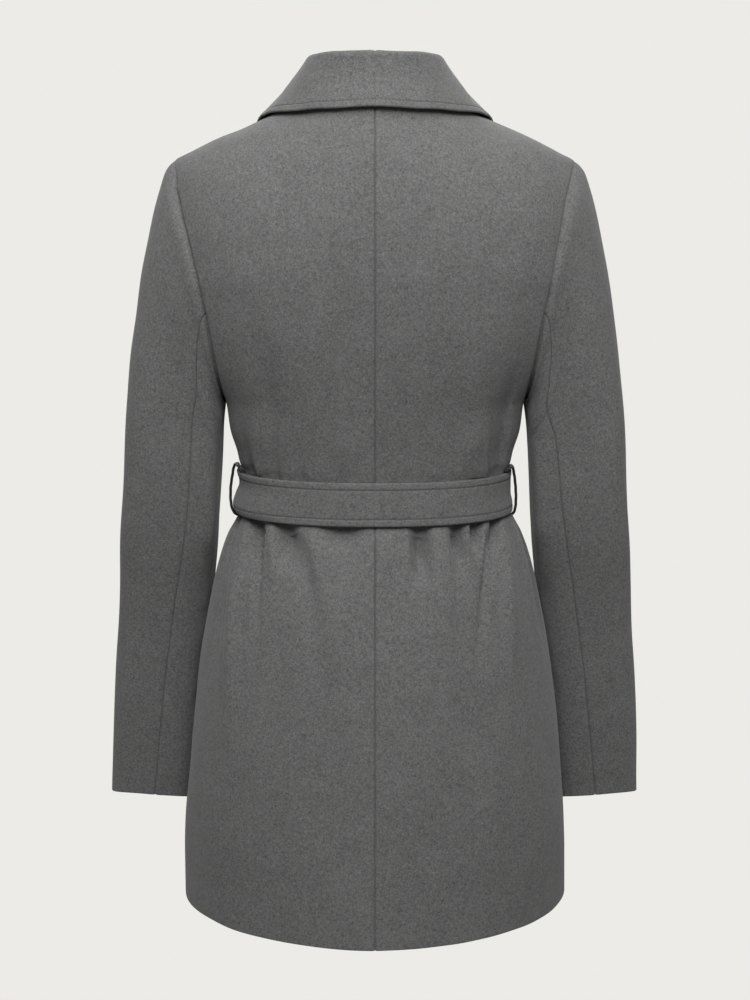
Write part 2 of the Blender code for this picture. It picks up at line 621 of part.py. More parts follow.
def inset_edge(outer, inner, rows, columns, next_rows, next_columns, gap=SEAM_INSET):
    """Draw one edge of a wall back from its seam line, square to that line."""
    edge, neighbour = outer[rows, columns], outer[next_rows, next_columns]
    line = unit(np.gradient(edge, axis=0))
    inward = neighbour - edge
    inward = unit(inward - np.sum(inward * line, axis=-1, keepdims=True) * line)
    outer[rows, columns] = edge + gap * inward
    inner[rows, columns] = inner[rows, columns] + gap * inward


def edge_pair(a, b, half, heights):
    """Two triangles across a wall's edge, split the same way in both pieces at a seam."""
    if heights[a] <= heights[b]:
        return [(a, half + a, half + b), (a, half + b, b)]
    return [(a, half + a, b), (half + a, half + b, b)]


def wall_faces(rows, columns, closed, heights):
    """Faces of a thick sheet whose outer grid comes first and inner grid second."""
    half = rows * columns
    last = columns if closed else columns - 1
    faces = []
    for r in range(rows - 1):
        for c in range(last):
            a, b = r * columns + c, r * columns + (c + 1) % columns
            faces.append((a, b, b + columns, a + columns))
            faces.append((half + a, half + a + columns, half + b + columns, half + b))
    top = (rows - 1) * columns
    for c in range(last):
        a, b = c, (c + 1) % columns
        faces += edge_pair(a, b, half, heights)
        faces += edge_pair(top + b, top + a, half, heights)
    if not closed:
        for r in range(rows - 1):
            a, b = r * columns, (r + 1) * columns
            faces += edge_pair(b, a, half, heights)
            faces += edge_pair(a + columns - 1, b + columns - 1, half, heights)
    return faces


def make_object(name, vertices, faces, material):
    mesh = bpy.data.meshes.new(name)
    mesh.from_pydata([tuple(v) for v in np.asarray(vertices) * MM], [], faces)
    mesh.materials.append(material)
    if signed_volume(mesh) < 0:
        mesh.flip_normals()
    mesh.shade_smooth()
    mesh.set_sharp_from_angle(angle=SHARP_ANGLE)
    thing = bpy.data.objects.new(name, mesh)
    bpy.context.scene.collection.objects.link(thing)
    return thing


def signed_volume(mesh):
    mesh.calc_loop_triangles()
    spots = np.array([v.co for v in mesh.vertices])
    corners = spots[np.array([t.vertices for t in mesh.loop_triangles])]
    return np.sum(np.cross(corners[:, 0], corners[:, 1]) * corners[:, 2])


def wall(name, outer, inner, material, closed=False):
    rows, columns = outer.shape[:2]
    vertices = np.concatenate([outer.reshape(-1, 3), inner.reshape(-1, 3)])
    faces = wall_faces(rows, columns, closed, vertices[:, 2])
    return make_object(name, vertices, faces, material)


def material(name, colour, roughness):
    finish = bpy.data.materials.new(name)
    finish.use_nodes = True
    shader = finish.node_tree.nodes["Principled BSDF"]
    shader.inputs["Base Color"].default_value = colour
    shader.inputs["Roughness"].default_value = roughness
    shader.inputs["Metallic"].default_value = 0.0
    return finish


# ------------------------------------------------------------------- pieces

def body_and_sleeves(side, word, wool):
    """One side of the coat: back, front and both sleeve pieces, with shared seams."""
    back, front = back_panel(side), front_panel(side)
    back_normals = grid_normals(back, outward_from_axis(back))
    front_normals = grid_normals(front, outward_from_axis(front))
    back_normals[:, 0] = unit(back_normals[:, 0] * (0.0, 1.0, 1.0))
    under = BODY_ROWS.index(UNDERARM_Z)
    back_normals[-1, NECK_COLUMNS:] = shoulder_normals(back[-1, NECK_COLUMNS:, 0])
    front_normals[-1] = shoulder_normals(front[-1, :, 0])
    side_normals = unit(back_normals[:under + 1, -1] + front_normals[:under + 1, -1])
    back_normals[:under + 1, -1] = side_normals
    front_normals[:under + 1, -1] = side_normals

    loop = armhole_loop(back, front)
    sleeve = sleeve_grid(side, loop)
    normals = sleeve_normals(sleeve)
    body_edge = np.concatenate([back_normals[under:, -1], front_normals[under:-1, -1][::-1]])
    shared = unit(unit(body_edge) + normals[0])
    shared[0] = shared[-1] = unit(shared[0] + shared[-1])
    normals[0] = shared
    tip = len(back) - under
    back_normals[under:, -1] = shared[:tip]
    front_normals[under:, -1] = shared[tip - 1:][::-1]

    for name, grid, grid_n in (("back_" + word, back, back_normals),
                               ("front_" + word, front, front_normals)):
        outer, inner = grid.copy(), grid - CLOTH * grid_n
        every = slice(None)
        inset_edge(outer, inner, every, -1, every, -2)
        if name.startswith("back"):
            inset_edge(outer, inner, every, 0, every, 1)
            inset_edge(outer, inner, -1, slice(NECK_COLUMNS, None), -2, slice(NECK_COLUMNS, None))
        else:
            inset_edge(outer, inner, -1, every, -2, every)
        wall(name, outer, inner, wool)

    joints = seam_columns()
    pieces = {
        "upper": list(range(joints[1], joints[3] + 1)),
        "under": list(range(joints[3], joints[4])) + list(range(joints[0], joints[1] + 1)),
    }
    for part, columns in pieces.items():
        outer = sleeve[:, columns].copy()
        inner = outer - CLOTH * normals[:, columns]
        every = slice(None)
        inset_edge(outer, inner, every, 0, every, 1)
        inset_edge(outer, inner, every, -1, every, -2)
        inset_edge(outer, inner, 0, every, 1, every)
        wall(f"sleeve_{word}_{part}", outer, inner, wool)
    return back, back_normals, front, front_normals


def collar_half(side, word, back, back_normals, front, front_normals, wool):
    """From the centre back round the neck and down the front's roll line."""
    foot = BODY_ROWS.index(LAPEL_FOOT_Z)
    seam = np.concatenate([back[-1, :NECK_COLUMNS + 1], front[foot:-1, 0][::-1]])
    seam_normals = np.concatenate([back_normals[-1, :NECK_COLUMNS + 1],
                                   front_normals[foot:-1, 0][::-1]])
    opening = np.concatenate([unit(back[-1, :NECK_COLUMNS + 1] - back[-2, :NECK_COLUMNS + 1]),
                              unit(front[foot:-1, 0] - front[foot:-1, 1])[::-1]])
    middle = collar_grid(side, seam, seam_normals, opening, skin_of(back, front))
    middle[0, :, 0] = 0.0
    outward = np.zeros_like(middle)
    outward[:, -4:] = outward_from_axis(middle[:, -4:])
    normals = grid_normals(middle, outward)
    normals[:, 0] = -seam_normals
    normals[0] = unit(normals[0] * (0.0, 1.0, 1.0))
    outer, inner = middle + 0.5 * CLOTH * normals, middle - 0.5 * CLOTH * normals
    inset_edge(outer, inner, 0, slice(None), 1, slice(None))
    wall("collar_" + word, outer, inner, wool)


def belt_band(wool):
    angles = np.arange(BELT_STATIONS) * 360.0 / BELT_STATIONS
    rows = list(zip(BELT["z"], BELT["off"]))
    inner = np.array([belt_base(angles, z, off) for z, off in rows])
    outer = np.array([belt_base(angles, z, off + BELT_CLOTH) for z, off in rows])
    wall("belt_band", outer, inner, wool, closed=True)
    return outer


def squared(swing):
    """A sine or cosine pushed outwards, so that it draws a rounded square."""
    return np.sign(swing) * np.abs(swing) ** (2 / KNOT_POWER)


def belt_knot(band_face, wool):
    """A rounded pad: the belt's last turn over itself."""
    width, depth, height = KNOT_SIZE
    turns = np.arange(KNOT_AROUND) * 2 * np.pi / KNOT_AROUND
    rises = np.linspace(-np.pi / 2, np.pi / 2, KNOT_LEVELS + 2)[1:-1, None]
    swell = squared(np.cos(rises))
    grid = points(0.5 * width * swell * squared(np.cos(turns)),
                  0.5 * depth * swell * squared(np.sin(turns)),
                  0.5 * height * squared(np.sin(rises)))
    grid += (0.0, band_face - KNOT_CLEAR - 0.5 * depth, BELT_MIDDLE)
    faces = []
    for r in range(KNOT_LEVELS - 1):
        for c in range(KNOT_AROUND):
            a, b = r * KNOT_AROUND + c, r * KNOT_AROUND + (c + 1) % KNOT_AROUND
            faces.append((a, b, b + KNOT_AROUND, a + KNOT_AROUND))
    faces.append(tuple(range(KNOT_AROUND))[::-1])
    top = (KNOT_LEVELS - 1) * KNOT_AROUND
    faces.append(tuple(range(top, top + KNOT_AROUND)))
    make_object("belt_knot", grid.reshape(-1, 3), faces, wool)


def belt_end(name, wool):
    """A hanging end of the belt, lying on the right front."""
    shape = BELT_ENDS[name]
    heights = np.linspace(shape["z"][0], shape["z"][-1], BELT_END_ROWS)
    across = np.linspace(-1.0, 1.0, BELT_END_COLUMNS + 1)
    under = []
    for z in heights:
        x = read(shape, "middle", z) + read(shape, "half_width", z) * across
        angle = ring_angle("front", x, z)
        lift = overlap_lift(-x, z) + read(shape, "off", z)
        under.append(ring_points("front", angle, z, lift))
    under = np.array(under)
    normals = grid_normals(under, outward_from_axis(under))
    wall(name, under + BELT_CLOTH * normals, under, wool)


def belt_carrier(side, word, wool):
    """A thin loop that stands off the side seam, with the belt inside it."""
    line = points([side * x for x, _ in CARRIERS[word]], 0.0, [z for _, z in CARRIERS[word]])
    ahead = unit(np.gradient(line, axis=0))
    off = unit(np.cross(ahead, (0.0, 1.0, 0.0)))
    half = points(0.0, 0.5 * CARRIER_WIDTH, 0.0)
    outer = np.stack([line + 0.5 * CARRIER_CLOTH * off - half,
                      line + 0.5 * CARRIER_CLOTH * off + half], axis=1)
    inner = np.stack([line - 0.5 * CARRIER_CLOTH * off - half,
                      line - 0.5 * CARRIER_CLOTH * off + half], axis=1)
    wall("carrier_" + word, outer, inner, wool)


def build():
    for thing in list(bpy.data.objects):
        bpy.data.objects.remove(thing)
    wool = material("wool_melange", WOOL_GREY, 0.9)
    dark = material("wool_shaded", SEAM_DARK, 0.9)
    for side, word in ((1, "left"), (-1, "right")):
        panels = body_and_sleeves(side, word, wool)
        collar_half(side, word, *panels, wool)
        belt_carrier(side, word, dark)
    band = belt_band(wool)
    belt_knot(band[..., 1].min(), wool)
    for name in BELT_ENDS:
        belt_end(name, wool)


build()
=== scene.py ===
"""The looks of a women's thigh-length wool wrap coat, filled out as it is worn.

Every cloth piece is a fine shell on the form of its solid in the frame: the
same tables give the same surface, which is then creased, dipped at its seams,
rounded at its free edges and stitched. Tables are in millimetres, with +X the
wearer's left, the fronts facing -Y and +Z up, as in the frame.
"""

import bpy
import numpy as np
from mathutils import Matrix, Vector
from mathutils.bvhtree import BVHTree


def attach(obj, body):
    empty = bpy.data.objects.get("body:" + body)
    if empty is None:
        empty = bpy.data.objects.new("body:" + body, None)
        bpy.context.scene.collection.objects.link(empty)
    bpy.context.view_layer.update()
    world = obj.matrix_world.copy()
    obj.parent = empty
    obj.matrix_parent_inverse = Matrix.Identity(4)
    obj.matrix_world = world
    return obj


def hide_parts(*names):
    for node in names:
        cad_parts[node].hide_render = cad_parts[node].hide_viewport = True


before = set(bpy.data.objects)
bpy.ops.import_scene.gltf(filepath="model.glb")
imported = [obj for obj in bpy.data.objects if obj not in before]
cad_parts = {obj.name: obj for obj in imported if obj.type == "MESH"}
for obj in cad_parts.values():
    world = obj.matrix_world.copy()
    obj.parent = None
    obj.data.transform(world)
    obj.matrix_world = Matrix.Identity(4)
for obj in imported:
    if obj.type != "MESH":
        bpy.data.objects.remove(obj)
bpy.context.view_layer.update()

MM = 0.001


def table(names, rows):
    """A small table with named columns, sorted by its first column."""
    return dict(zip(names.split(), np.array(sorted(rows), dtype=float).T))


# ------------------------------------------- sizes of the coat's solids (mm)

CLOTH = 2.2               # wall of the coat cloth

HEM_Z = -801.2
BELT_BOTTOM = -399.5
BELT_TOP = -357.5
BELT_MIDDLE = (BELT_TOP + BELT_BOTTOM) / 2
BELT_HEIGHT = BELT_TOP - BELT_BOTTOM
UNDERARM_Z = -288.0
YOKE_Z = -170.0           # above this level the back and the fronts curve in to the shoulder
SHOULDER_TIP_X, SHOULDER_TIP_Z = 193.5, -56.8
NECK_HALF_WIDTH = 70.0
NECK_DEPTH_BACK = 72.0

# Rings of the body: distances from the middle, and how square each half is.
BODY = table("z side back front back_power front_power", [
    (YOKE_Z, 195, 118, 117, 2.50, 2.05),
    (-214, 184, 115.5, 121, 2.50, 2.05),
    (-250, 168, 110.5, 119, 2.50, 2.10),
    (-275, 153.5, 106, 115, 2.45, 2.15),
    (UNDERARM_Z, 147, 103.4, 112, 2.40, 2.20),
    (-318, 142.5, 97.2, 105.5, 2.35, 2.20),
    (-339, 136.5, 93.8, 101, 2.30, 2.20),
    (-350, 134.3, 92.4, 98.3, 2.25, 2.20),
    (BELT_TOP, 131.4, 91.3, 96.5, 2.20, 2.20),
    (BELT_MIDDLE, 131, 90.5, 95.5, 2.20, 2.20),
    (BELT_BOTTOM, 132.2, 91.3, 96.3, 2.20, 2.20),
    (-404, 136.6, 95.6, 100.2, 2.20, 2.20),
    (-411, 140.6, 99.4, 103.6, 2.20, 2.20),
    (-422, 146.8, 104.2, 107.8, 2.20, 2.15),
    (-457, 159, 114.5, 114.8, 2.20, 2.10),
    (-490, 166, 122.5, 119.5, 2.22, 2.05),
    (-533, 174, 130.5, 124.5, 2.22, 2.00),
    (-592, 182, 137.5, 129, 2.22, 1.95),
    (-655, 189, 143, 132.5, 2.18, 1.90),
    (-720, 194.5, 147.2, 136, 2.08, 1.87),
    (-755, 195.8, 150, 138, 1.96, 1.87),
    (HEM_Z, 196, 153.4, 140, 1.87, 1.88),
])

# Height of the shoulder over each distance from the middle.
SHOULDER = table("x back front", [
    (-35, 24.2, 3), (0, 42, 3), (35, 24.2, 3), (70, 0, 0),
    (120, -22.6, -22.6), (150, -34.8, -34.8), (177, -48, -48),
    (SHOULDER_TIP_X, SHOULDER_TIP_Z, SHOULDER_TIP_Z), (203, -68, -68),
])
YOKE_POWER = {"back": 2.2, "front": 1.9}
FACES = {"back": 1.0, "front": -1.0}      # which way each face looks along Y

# Armhole seam: distance from the middle at each height, behind and in front.
ARMHOLE = table("z back front", [
    (SHOULDER_TIP_Z, SHOULDER_TIP_X, SHOULDER_TIP_X), (-75, 187.3, 185.3),
    (-93.5, 181.5, 178), (-125, 174.5, 169), (-157.6, 168.8, 163),
    (-200, 161, 157), (-232, 156, 153.5), (-262, 150.8, 150.4),
    (-278, 148.2, 148.2), (-285, 147.3, 147.3), (UNDERARM_Z, 147, 147),
])

# Behind, the left armhole runs this much further out than the right one.
ARMHOLE_OUT = table("z left", [
    (-165, 0), (-136, 1.6), (-105, 4), (-84, 4), (-75, 2), (SHOULDER_TIP_Z, 0),
])

# Front edge: distance from the middle on the panel's own side.
FRONT_EDGE = table("z x", [
    (0, 70), (-25, 63.5), (-60, 54.5), (-100, 45), (-140, 34.5), (-170, 25),
    (-200, 14), (-235, 0), (-270, -15), (-300, -29), (-330, -43.5),
    (BELT_TOP, -55), (BELT_MIDDLE, -60.5), (BELT_BOTTOM, -64), (-457, -70),
    (-600, -79), (HEM_Z, -90),
])

# The right front passes over the left one and its lapel: how far it stands off
# it, between which shares of the ring's side and which heights that ends.
OVERLAP = 8.5
OVERLAP_FULL, OVERLAP_NONE = 0.54, 0.86
OVERLAP_WHOLE, OVERLAP_TOP = -200.0, -130.0

# Sections of a sleeve: its outer and inner edge, its depth, and how far it has
# settled from the armhole's own shape into a rounded tube.
SLEEVE = table("order outer_x outer_z inner_x inner_z middle_y half_depth back_rise settled power", [
    (0, SHOULDER_TIP_X, SHOULDER_TIP_Z, 147, UNDERARM_Z, 0, 66, 0, 0.00, 2.5),
    (1, 201.8, -65.5, 147.6, -291, 0, 66, 0, 0.20, 2.5),
    (2, 209.5, -86.5, 148.3, -294, -3, 65, 0, 0.40, 2.5),
    (3, 219, -122, 149, -297.5, -5, 62.5, 0, 0.60, 2.6),
    (4, 227.5, -161, 149.8, -302, -6.5, 59.5, 0, 0.76, 2.7),
    (5, 233.6, -203, 150.6, -308, -6.5, 56.5, 0, 0.88, 2.8),
    (6, 240, -248, 151.6, -318, -6.5, 53, 0, 0.96, 3),
    (7, 244.6, -292, 152.6, -333, -7, 50, 0, 1.00, 3.3),
    (8, 248.3, -337, 154, -356, -9, 48, 0, 1.00, 3.5),
    (9, 252, -385, 156, -390, -13, 46, 0, 1.00, 3.5),
    (10, 256.4, -430, 159, -431, -19, 43, 0, 1.00, 3.4),
    (11, 260.2, -476, 164.2, -478, -28.5, 39, 0, 1.00, 3.2),
    (12, 264.3, -524, 169.6, -527, -38, 37, 0, 1.00, 3),
    (13, 269.3, -572, 175.2, -577, -45.5, 35.6, 0, 1.00, 2.8),
    (14, 272.9, -620, 180, -627, -52.2, 34.3, 0.5, 1.00, 2.7),
    (15, 276.6, -668, 185, -675, -59, 33, 2, 1.00, 2.6),
    (16, 279.2, -714.5, 189.5, -721, -65, 32, 7.5, 1.00, 2.6),
])
# Angles of the sleeve's seams round each section: behind, on either sleeve, and in front.
SLEEVE_SEAMS = table("order left right front", [
    (0, 112, 112, -118), (2, 113, 120, -119.4), (4, 115, 130, -120.7),
    (5, 113, 129, -121.3), (6, 108, 120, -122), (7, 105, 109, -122.7),
    (9, 103, 103, -124), (12, 96, 96, -124), (16, 92, 92, -124),
])
SLEEVE_SEAM_ROW_BACK = -200.0
SLEEVE_SEAM_ROW_FRONT = -232.0
INNER_POWER = 8.0         # behind, a sleeve stays flat nearly to its inner edge
INNER_FLAT = (2.0, 4.6, 9.4, 11.4)       # between these orders

# Collar at distances along its seam: its stand, the roll at its top, and where
# its edge lies and how far that is off the coat.
COLLAR = table("along stand lean roll edge_x edge_y edge_z off", [
    (-34, 36.2, 0.18, 4.2, -34, 80, -11.2, 7.2),
    (0, 31, 0.16, 4.2, 0, 86.8, -10.4, 7.4),
    (34, 36.2, 0.18, 4.2, 34, 80, -11.2, 7.2),
    (62, 37.4, 0.24, 4.3, 57, 64.2, -13.3, 6.8),
    (84, 37.5, 0.30, 4.4, 77, 46, -16.6, 5.8),
    (105, 36, 0.34, 4.5, 92, 25, -21.6, 5),
    (122, 31, 0.34, 4.5, 105, -3, -27.4, 4),
    (142, 24, 0.30, 4.4, 117.4, -37, -41, 3.8),
    (170, 16, 0.20, 4, 124, -65.5, -71.5, 4.4),
    (205, 10, 0.20, 3.4, 120, -84, -112, 5.6),
    (245, 7, 0.20, 2.8, 109, -97, -155, 5.4),
    (285, 5, 0.20, 2.4, 92, -107, -200, 5.5),
    (325, 4, 0.20, 2.3, 68, -114, -248, 5),
    (365, 3.4, 0.20, 2.3, 38, -112, -292, 4.8),
    (405, 2.8, 0.20, 2.3, 2, -104, -326, 4.6),
    (455, 2.4, 0.20, 2.3, -44, -94, -352, 4.6),
])
COLLAR_GAP = 0.60         # between the seam and the collar's foot
COLLAR_TURN = 1.6         # the foot turns up within this
COLLAR_CLEAR = 1.9        # the fall stays this far off the coat
COLLAR_SAG = 0.17         # behind, the fall sinks in by this share between roll and edge
COLLAR_SAG_ENDS = (35.0, 75.0)
LAPEL_FOOT_Z = -345.0

BELT_CLOTH = 3.0
# The band: how far its inner face is off the waist at each height, and how much
# further off it is at the side seam on either hand.
BELT = table("z off left right", [
    (BELT_TOP, 1.3, 2.3, 0.1),
    (-371, 1.9, -0.8, -0.9),
    (-381, 2.3, 2.5, -1.2),
    (-391, 2.6, 5, 0.5),
    (BELT_BOTTOM, 3, 2.1, -0.2),
])

KNOT_SIZE = (44.0, 21.0, 46.0)
KNOT_CLEAR = 0.4
KNOT_POWER = 3.0

BELT_ENDS = {
    "belt_end_left": table("z middle half_width off", [
        (-403.6, 11.5, 9.5, 9), (-416, 14.5, 13, 6),
        (-440, 20, 18, 2.2), (-480, 23, 19.2, 1.2),
        (-560, 28.5, 19.2, 1.2), (-648, 33, 19.2, 1.2),
    ]),
    "belt_end_right": table("z middle half_width off", [
        (-403.6, -11.5, 9.5, 9), (-416, -14.5, 13, 6),
        (-440, -20, 18, 2.2), (-480, -22, 19.2, 1.2),
        (-560, -24, 19.2, 2), (-624, -26, 19.2, 2),
    ]),
}

CARRIERS = {                    # x, y, z
    "left": [
        (129, 34, -355.4), (133.6, 20, -353), (137.2, 8, -352.2), (139.8, 2, -354.4),
        (141.2, 0, -358.6), (142.2, 0, -364.6), (143.4, 0, -371.5), (144.2, 0, -379),
        (144.4, 0, -387), (143.8, 0, -394.2), (142, 0, -400.4), (139.6, 0, -403.6),
        (136, 0, -405.4),
    ],
    "right": [
        (128.6, 34, -354.6), (133.2, 19, -353.6), (136, 7, -354.6), (137.6, 2, -358.4),
        (138.8, 0, -364), (139.8, 0, -371), (140.5, 0, -378.5), (140.9, 0, -386),
        (140.8, 0, -393), (140.2, 0, -398.4), (138.8, 0, -402.6), (135.8, 0, -405.2),
    ],
}
CARRIER_WIDTH = 6.0
CARRIER_CLOTH = 2.8

# Rows of the solids, which fix where the sleeve seams start.
BODY_ROWS = [
    HEM_Z, -740.0, -675.0, -615.0, -560.0, -514.0, -480.0, -453.0, -431.0, -415.0,
    -401.0, BELT_MIDDLE, BELT_TOP, -345.0, -318.0, UNDERARM_Z, -285.0, -278.0, -262.0, -232.0,
    -200.0, YOKE_Z,
]
YOKE_ROWS = 7
NECK_SHARE = 7 / 20       # of the back's width, this much ends at the neck

# ------------------------------------------------ finer form, for looks (mm)

STEP = 3.4                # usual size of a face
EDGE_STOPS = (0.35, 0.8, 1.3, 1.9, 2.7)   # closer rows beside a seam or a free edge
EDGE_CLEAR = 1.25         # the other rows stay clear of those by this factor
BELT_STEP = 1.7           # face height where the belt gathers the cloth
GATHER_TOP, GATHER_FOOT = -330.0, -450.0
YOKE_FACES = 7            # faces for each yoke row of the solids
YOKE_LAST = (0.988, 0.992, 0.9955, 0.998, 1.0)
BACK_WIDTH, FRONT_WIDTH = 235.0, 310.0    # usual half girths, to space the columns

SEAM_DIP = 1.15           # how deep a seam line lies
SEAM_REACH = 1.25         # and how far from the line the cloth starts to dip
SEAM_ROUNDNESS = 1.4      # of the valley: 1 is a sharp crease and 2 a round hollow
SEAM_SWELL = 0.22         # the seam allowances lift the cloth a little beside it
SEAM_SWELL_AT, SEAM_SWELL_REACH = 5.0, 3.5
CENTRE_SEAM = (1.8, 0.75)         # depth and reach of the centre back seam
SLEEVE_SEAM = (1.7, 0.75)
COLLAR_SEAM = (0.8, 0.65)
HELD_BY_BELT = -0.2       # under the belt the cloth bulges out no further than this
HELD_PAST_BELT = 1.0      # and this far above and below it
PIECE_LAP = 0.04          # cloth pieces run this far over a seam line, so that no light comes through
EDGE_ROUNDS, SKIN_ROUNDS = 12, 4          # a sought place settles in this many rounds


# ------------------------------------------------------------ small helpers

def read(tbl, column, at):
    """Smooth value of one column of a table, never overshooting its rows."""
    keys = next(iter(tbl.values()))
    values = tbl[column]
    steps = np.diff(keys)
    slopes = np.diff(values) / steps
    inner = np.zeros(len(keys))
    for i in range(1, len(keys) - 1):
        if slopes[i - 1] * slopes[i] > 0:
            before, after = 2 * steps[i] + steps[i - 1], steps[i] + 2 * steps[i - 1]
            inner[i] = (before + after) / (before / slopes[i - 1] + after / slopes[i])
    inner[0], inner[-1] = slopes[0], slopes[-1]
    at = np.clip(np.asarray(at, dtype=float), keys[0], keys[-1])
    i = np.clip(np.searchsorted(keys, at) - 1, 0, len(steps) - 1)
    t = (at - keys[i]) / steps[i]
    return ((1 + 2 * t) * (1 - t) ** 2 * values[i] + t * (1 - t) ** 2 * steps[i] * inner[i]
            + t * t * (3 - 2 * t) * values[i + 1] + t * t * (t - 1) * steps[i] * inner[i + 1])


def ease(start, end, at):
    """0 before start, 1 after end, and smooth between them."""
    t = np.clip((np.asarray(at, dtype=float) - start) / (end - start), 0.0, 1.0)
    return t * t * (3 - 2 * t)


def hump(away, reach):
    """1 in the middle, 0 from `reach` on."""
    return 0.5 + 0.5 * np.cos(np.pi * np.clip(np.abs(away) / reach, 0.0, 1.0))


def within(stops, at):
    """0 outside the outer two of four stops, 1 between the inner two, and smooth between."""
    return ease(*stops[:2], at) * (1 - ease(*stops[2:], at))


def nearest(values, at):
    """Number of the value that is closest to `at`."""
    return int(np.argmin(np.abs(values - at)))


def between(at, places, values):
    """A row of points, read at other places along it."""
    return np.stack([np.interp(at, places, values[:, i]) for i in range(3)], axis=-1)


def wrap(grid, before=0):
    """A grid that closes on itself, with its first column again after its last."""
    return np.concatenate([grid[:, grid.shape[1] - before:], grid, grid[:, :1]], axis=1)


def unit(vectors):
    length = np.linalg.norm(vectors, axis=-1, keepdims=True)
    return vectors / np.maximum(length, 1e-9)


def points(x, y, z):
    return np.stack(np.broadcast_arrays(x, y, z), axis=-1).astype(float)


def grid_normals(grid, outward):
    """Unit normals of a grid of points, on the side that `outward` points to."""
    normals = unit(np.cross(np.gradient(grid, axis=0), np.gradient(grid, axis=1)))
    return -normals if np.sum(normals * outward) < 0 else normals


def closed_normals(grid, outward):
    """The same on a grid that closes on itself."""
    return grid_normals(wrap(grid, before=1), wrap(outward, before=1))[:, 1:-1]


def outward_from_axis(grid):
    return grid * (1.0, 1.0, 0.0)


def run(grid, axis):
    """Distance along the grid's rows or columns, from its first point."""
    length = np.linalg.norm(np.diff(grid, axis=axis), axis=-1)
    start = np.zeros_like(np.take(length, [0], axis=axis))
    return np.concatenate([start, np.cumsum(length, axis=axis)], axis=axis)


def from_end(grid, axis):
    """Distance along the rows or columns to the grid's last point."""
    whole = run(grid, axis)
    return np.take(whole, [-1], axis=axis) - whole


def split_steps(marks, step):
    """The marks, with even stops about a step apart between them."""
    stops = []
    for a, b in zip(marks, marks[1:]):
        count = max(1, round(abs(b - a) / (step(0.5 * (a + b)) if callable(step) else step)))
        stops.extend(np.linspace(a, b, count + 1)[:-1])
    return np.array(stops + [marks[-1]])


def closer(stops, at, length=1.0, before=True, after=True):
    """Add close stops beside one mark; `length` is the size in mm of one unit."""
    extra = []
    for stop in EDGE_STOPS:
        extra += [at - stop / length] * before + [at + stop / length] * after
    reach = EDGE_STOPS[-1] / length + 1e-9
    kept = [s for s in stops if abs(s - at) < 1e-9 or abs(s - at) > EDGE_CLEAR * reach]
    extra = [s for s in extra if stops[0] <= s <= stops[-1]]
    return np.array(sorted(set(kept) | set(extra)))


# ------------------------------------------------------------- body surface

def ring_side(z):
    return read(BODY, "side", z)


def ring_outline(face, angle, z):
    """The ring at height z: x and y of its points, and the way out from each.

    Angle 0 is the middle and +90 the left side.
    """
    side, reach, power = (read(BODY, column, z) for column in ("side", face, face + "_power"))
    turn = np.radians(angle)
    share_x = np.sign(turn) * np.abs(np.sin(turn)) ** (2 / power)
    share_y = FACES[face] * np.abs(np.cos(turn)) ** (2 / power)
    out_x = np.sign(share_x) * np.abs(share_x) ** (power - 1) / side
    out_y = FACES[face] * np.abs(share_y) ** (power - 1) / reach
    steep = np.hypot(out_x, out_y)
    return side * share_x, reach * share_y, out_x / steep, out_y / steep


def ring_points(face, angle, z, lift=0.0):
    """Points of the ring at height z, moved out by `lift`."""
    x, y, out_x, out_y = ring_outline(face, angle, z)
    return points(x + lift * out_x, y + lift * out_y, z)


def ring_angle(face, x, z):
    """Angle at which the ring at height z passes x."""
    power = read(BODY, face + "_power", z)
    share = np.clip(np.abs(x) / ring_side(z), 0.0, 1.0)
    return np.sign(x) * np.degrees(np.arcsin(share ** (power / 2)))


def yoke_points(face, x, climb):
    """Points above the yoke line; climb runs from 0 there to 90 at the shoulder."""
    side, reach = ring_side(YOKE_Z), read(BODY, face, YOKE_Z)
    power = read(BODY, face + "_power", YOKE_Z)
    deepest = reach * (1 - np.clip(np.abs(x) / side, 0.0, 1.0) ** power) ** (1 / power)
    top = read(SHOULDER, face, np.abs(x))
    turn = np.radians(climb)
    arc = 2 / YOKE_POWER[face]
    return points(x, FACES[face] * deepest * np.cos(turn).clip(0.0) ** arc,
                  YOKE_Z + (top - YOKE_Z) * np.sin(turn) ** arc)


def edge_on_yoke(face, edge, column, climb):
    """Distance from the middle at which an edge passes the yoke row at `climb`."""
    x = read(edge, column, YOKE_Z) + np.zeros_like(climb)
    for _ in range(EDGE_ROUNDS):
        x = 0.5 * x + 0.5 * read(edge, column, yoke_points(face, x, climb)[..., 2])
    return x


def overlap_lift(own_x, z):
    """How far the right front stands off the left one; own_x is + on its own side."""
    across = 1 - ease(OVERLAP_FULL, OVERLAP_NONE, own_x / ring_side(z))
    down = 1 - ease(OVERLAP_WHOLE, OVERLAP_TOP, z)
    return OVERLAP * across * down


def shoulder_normals(x):
    slope = (read(SHOULDER, "back", np.abs(x) + 1) - read(SHOULDER, "back", np.abs(x) - 1)) / 2
    return unit(points(-np.sign(x) * slope, 0.0, 1.0))


# -------------------------------------------------------- fine rows of the body

def row_step(z):
    return BELT_STEP if GATHER_FOOT < z < GATHER_TOP else STEP


LEVELS = closer(split_steps(BODY_ROWS, row_step), HEM_Z, before=False)
UPS = np.concatenate([np.arange(1, YOKE_ROWS * YOKE_FACES) / (YOKE_ROWS * YOKE_FACES), YOKE_LAST])
# Place of every fine row on the count of the solids' rows.
ROW_PLACE = np.concatenate([np.interp(LEVELS, BODY_ROWS, np.arange(len(BODY_ROWS))),
                            len(BODY_ROWS) - 1 + UPS * YOKE_ROWS])
UNDERARM_ROW = nearest(LEVELS, UNDERARM_Z)
LAPEL_ROW = nearest(LEVELS, LAPEL_FOOT_Z)


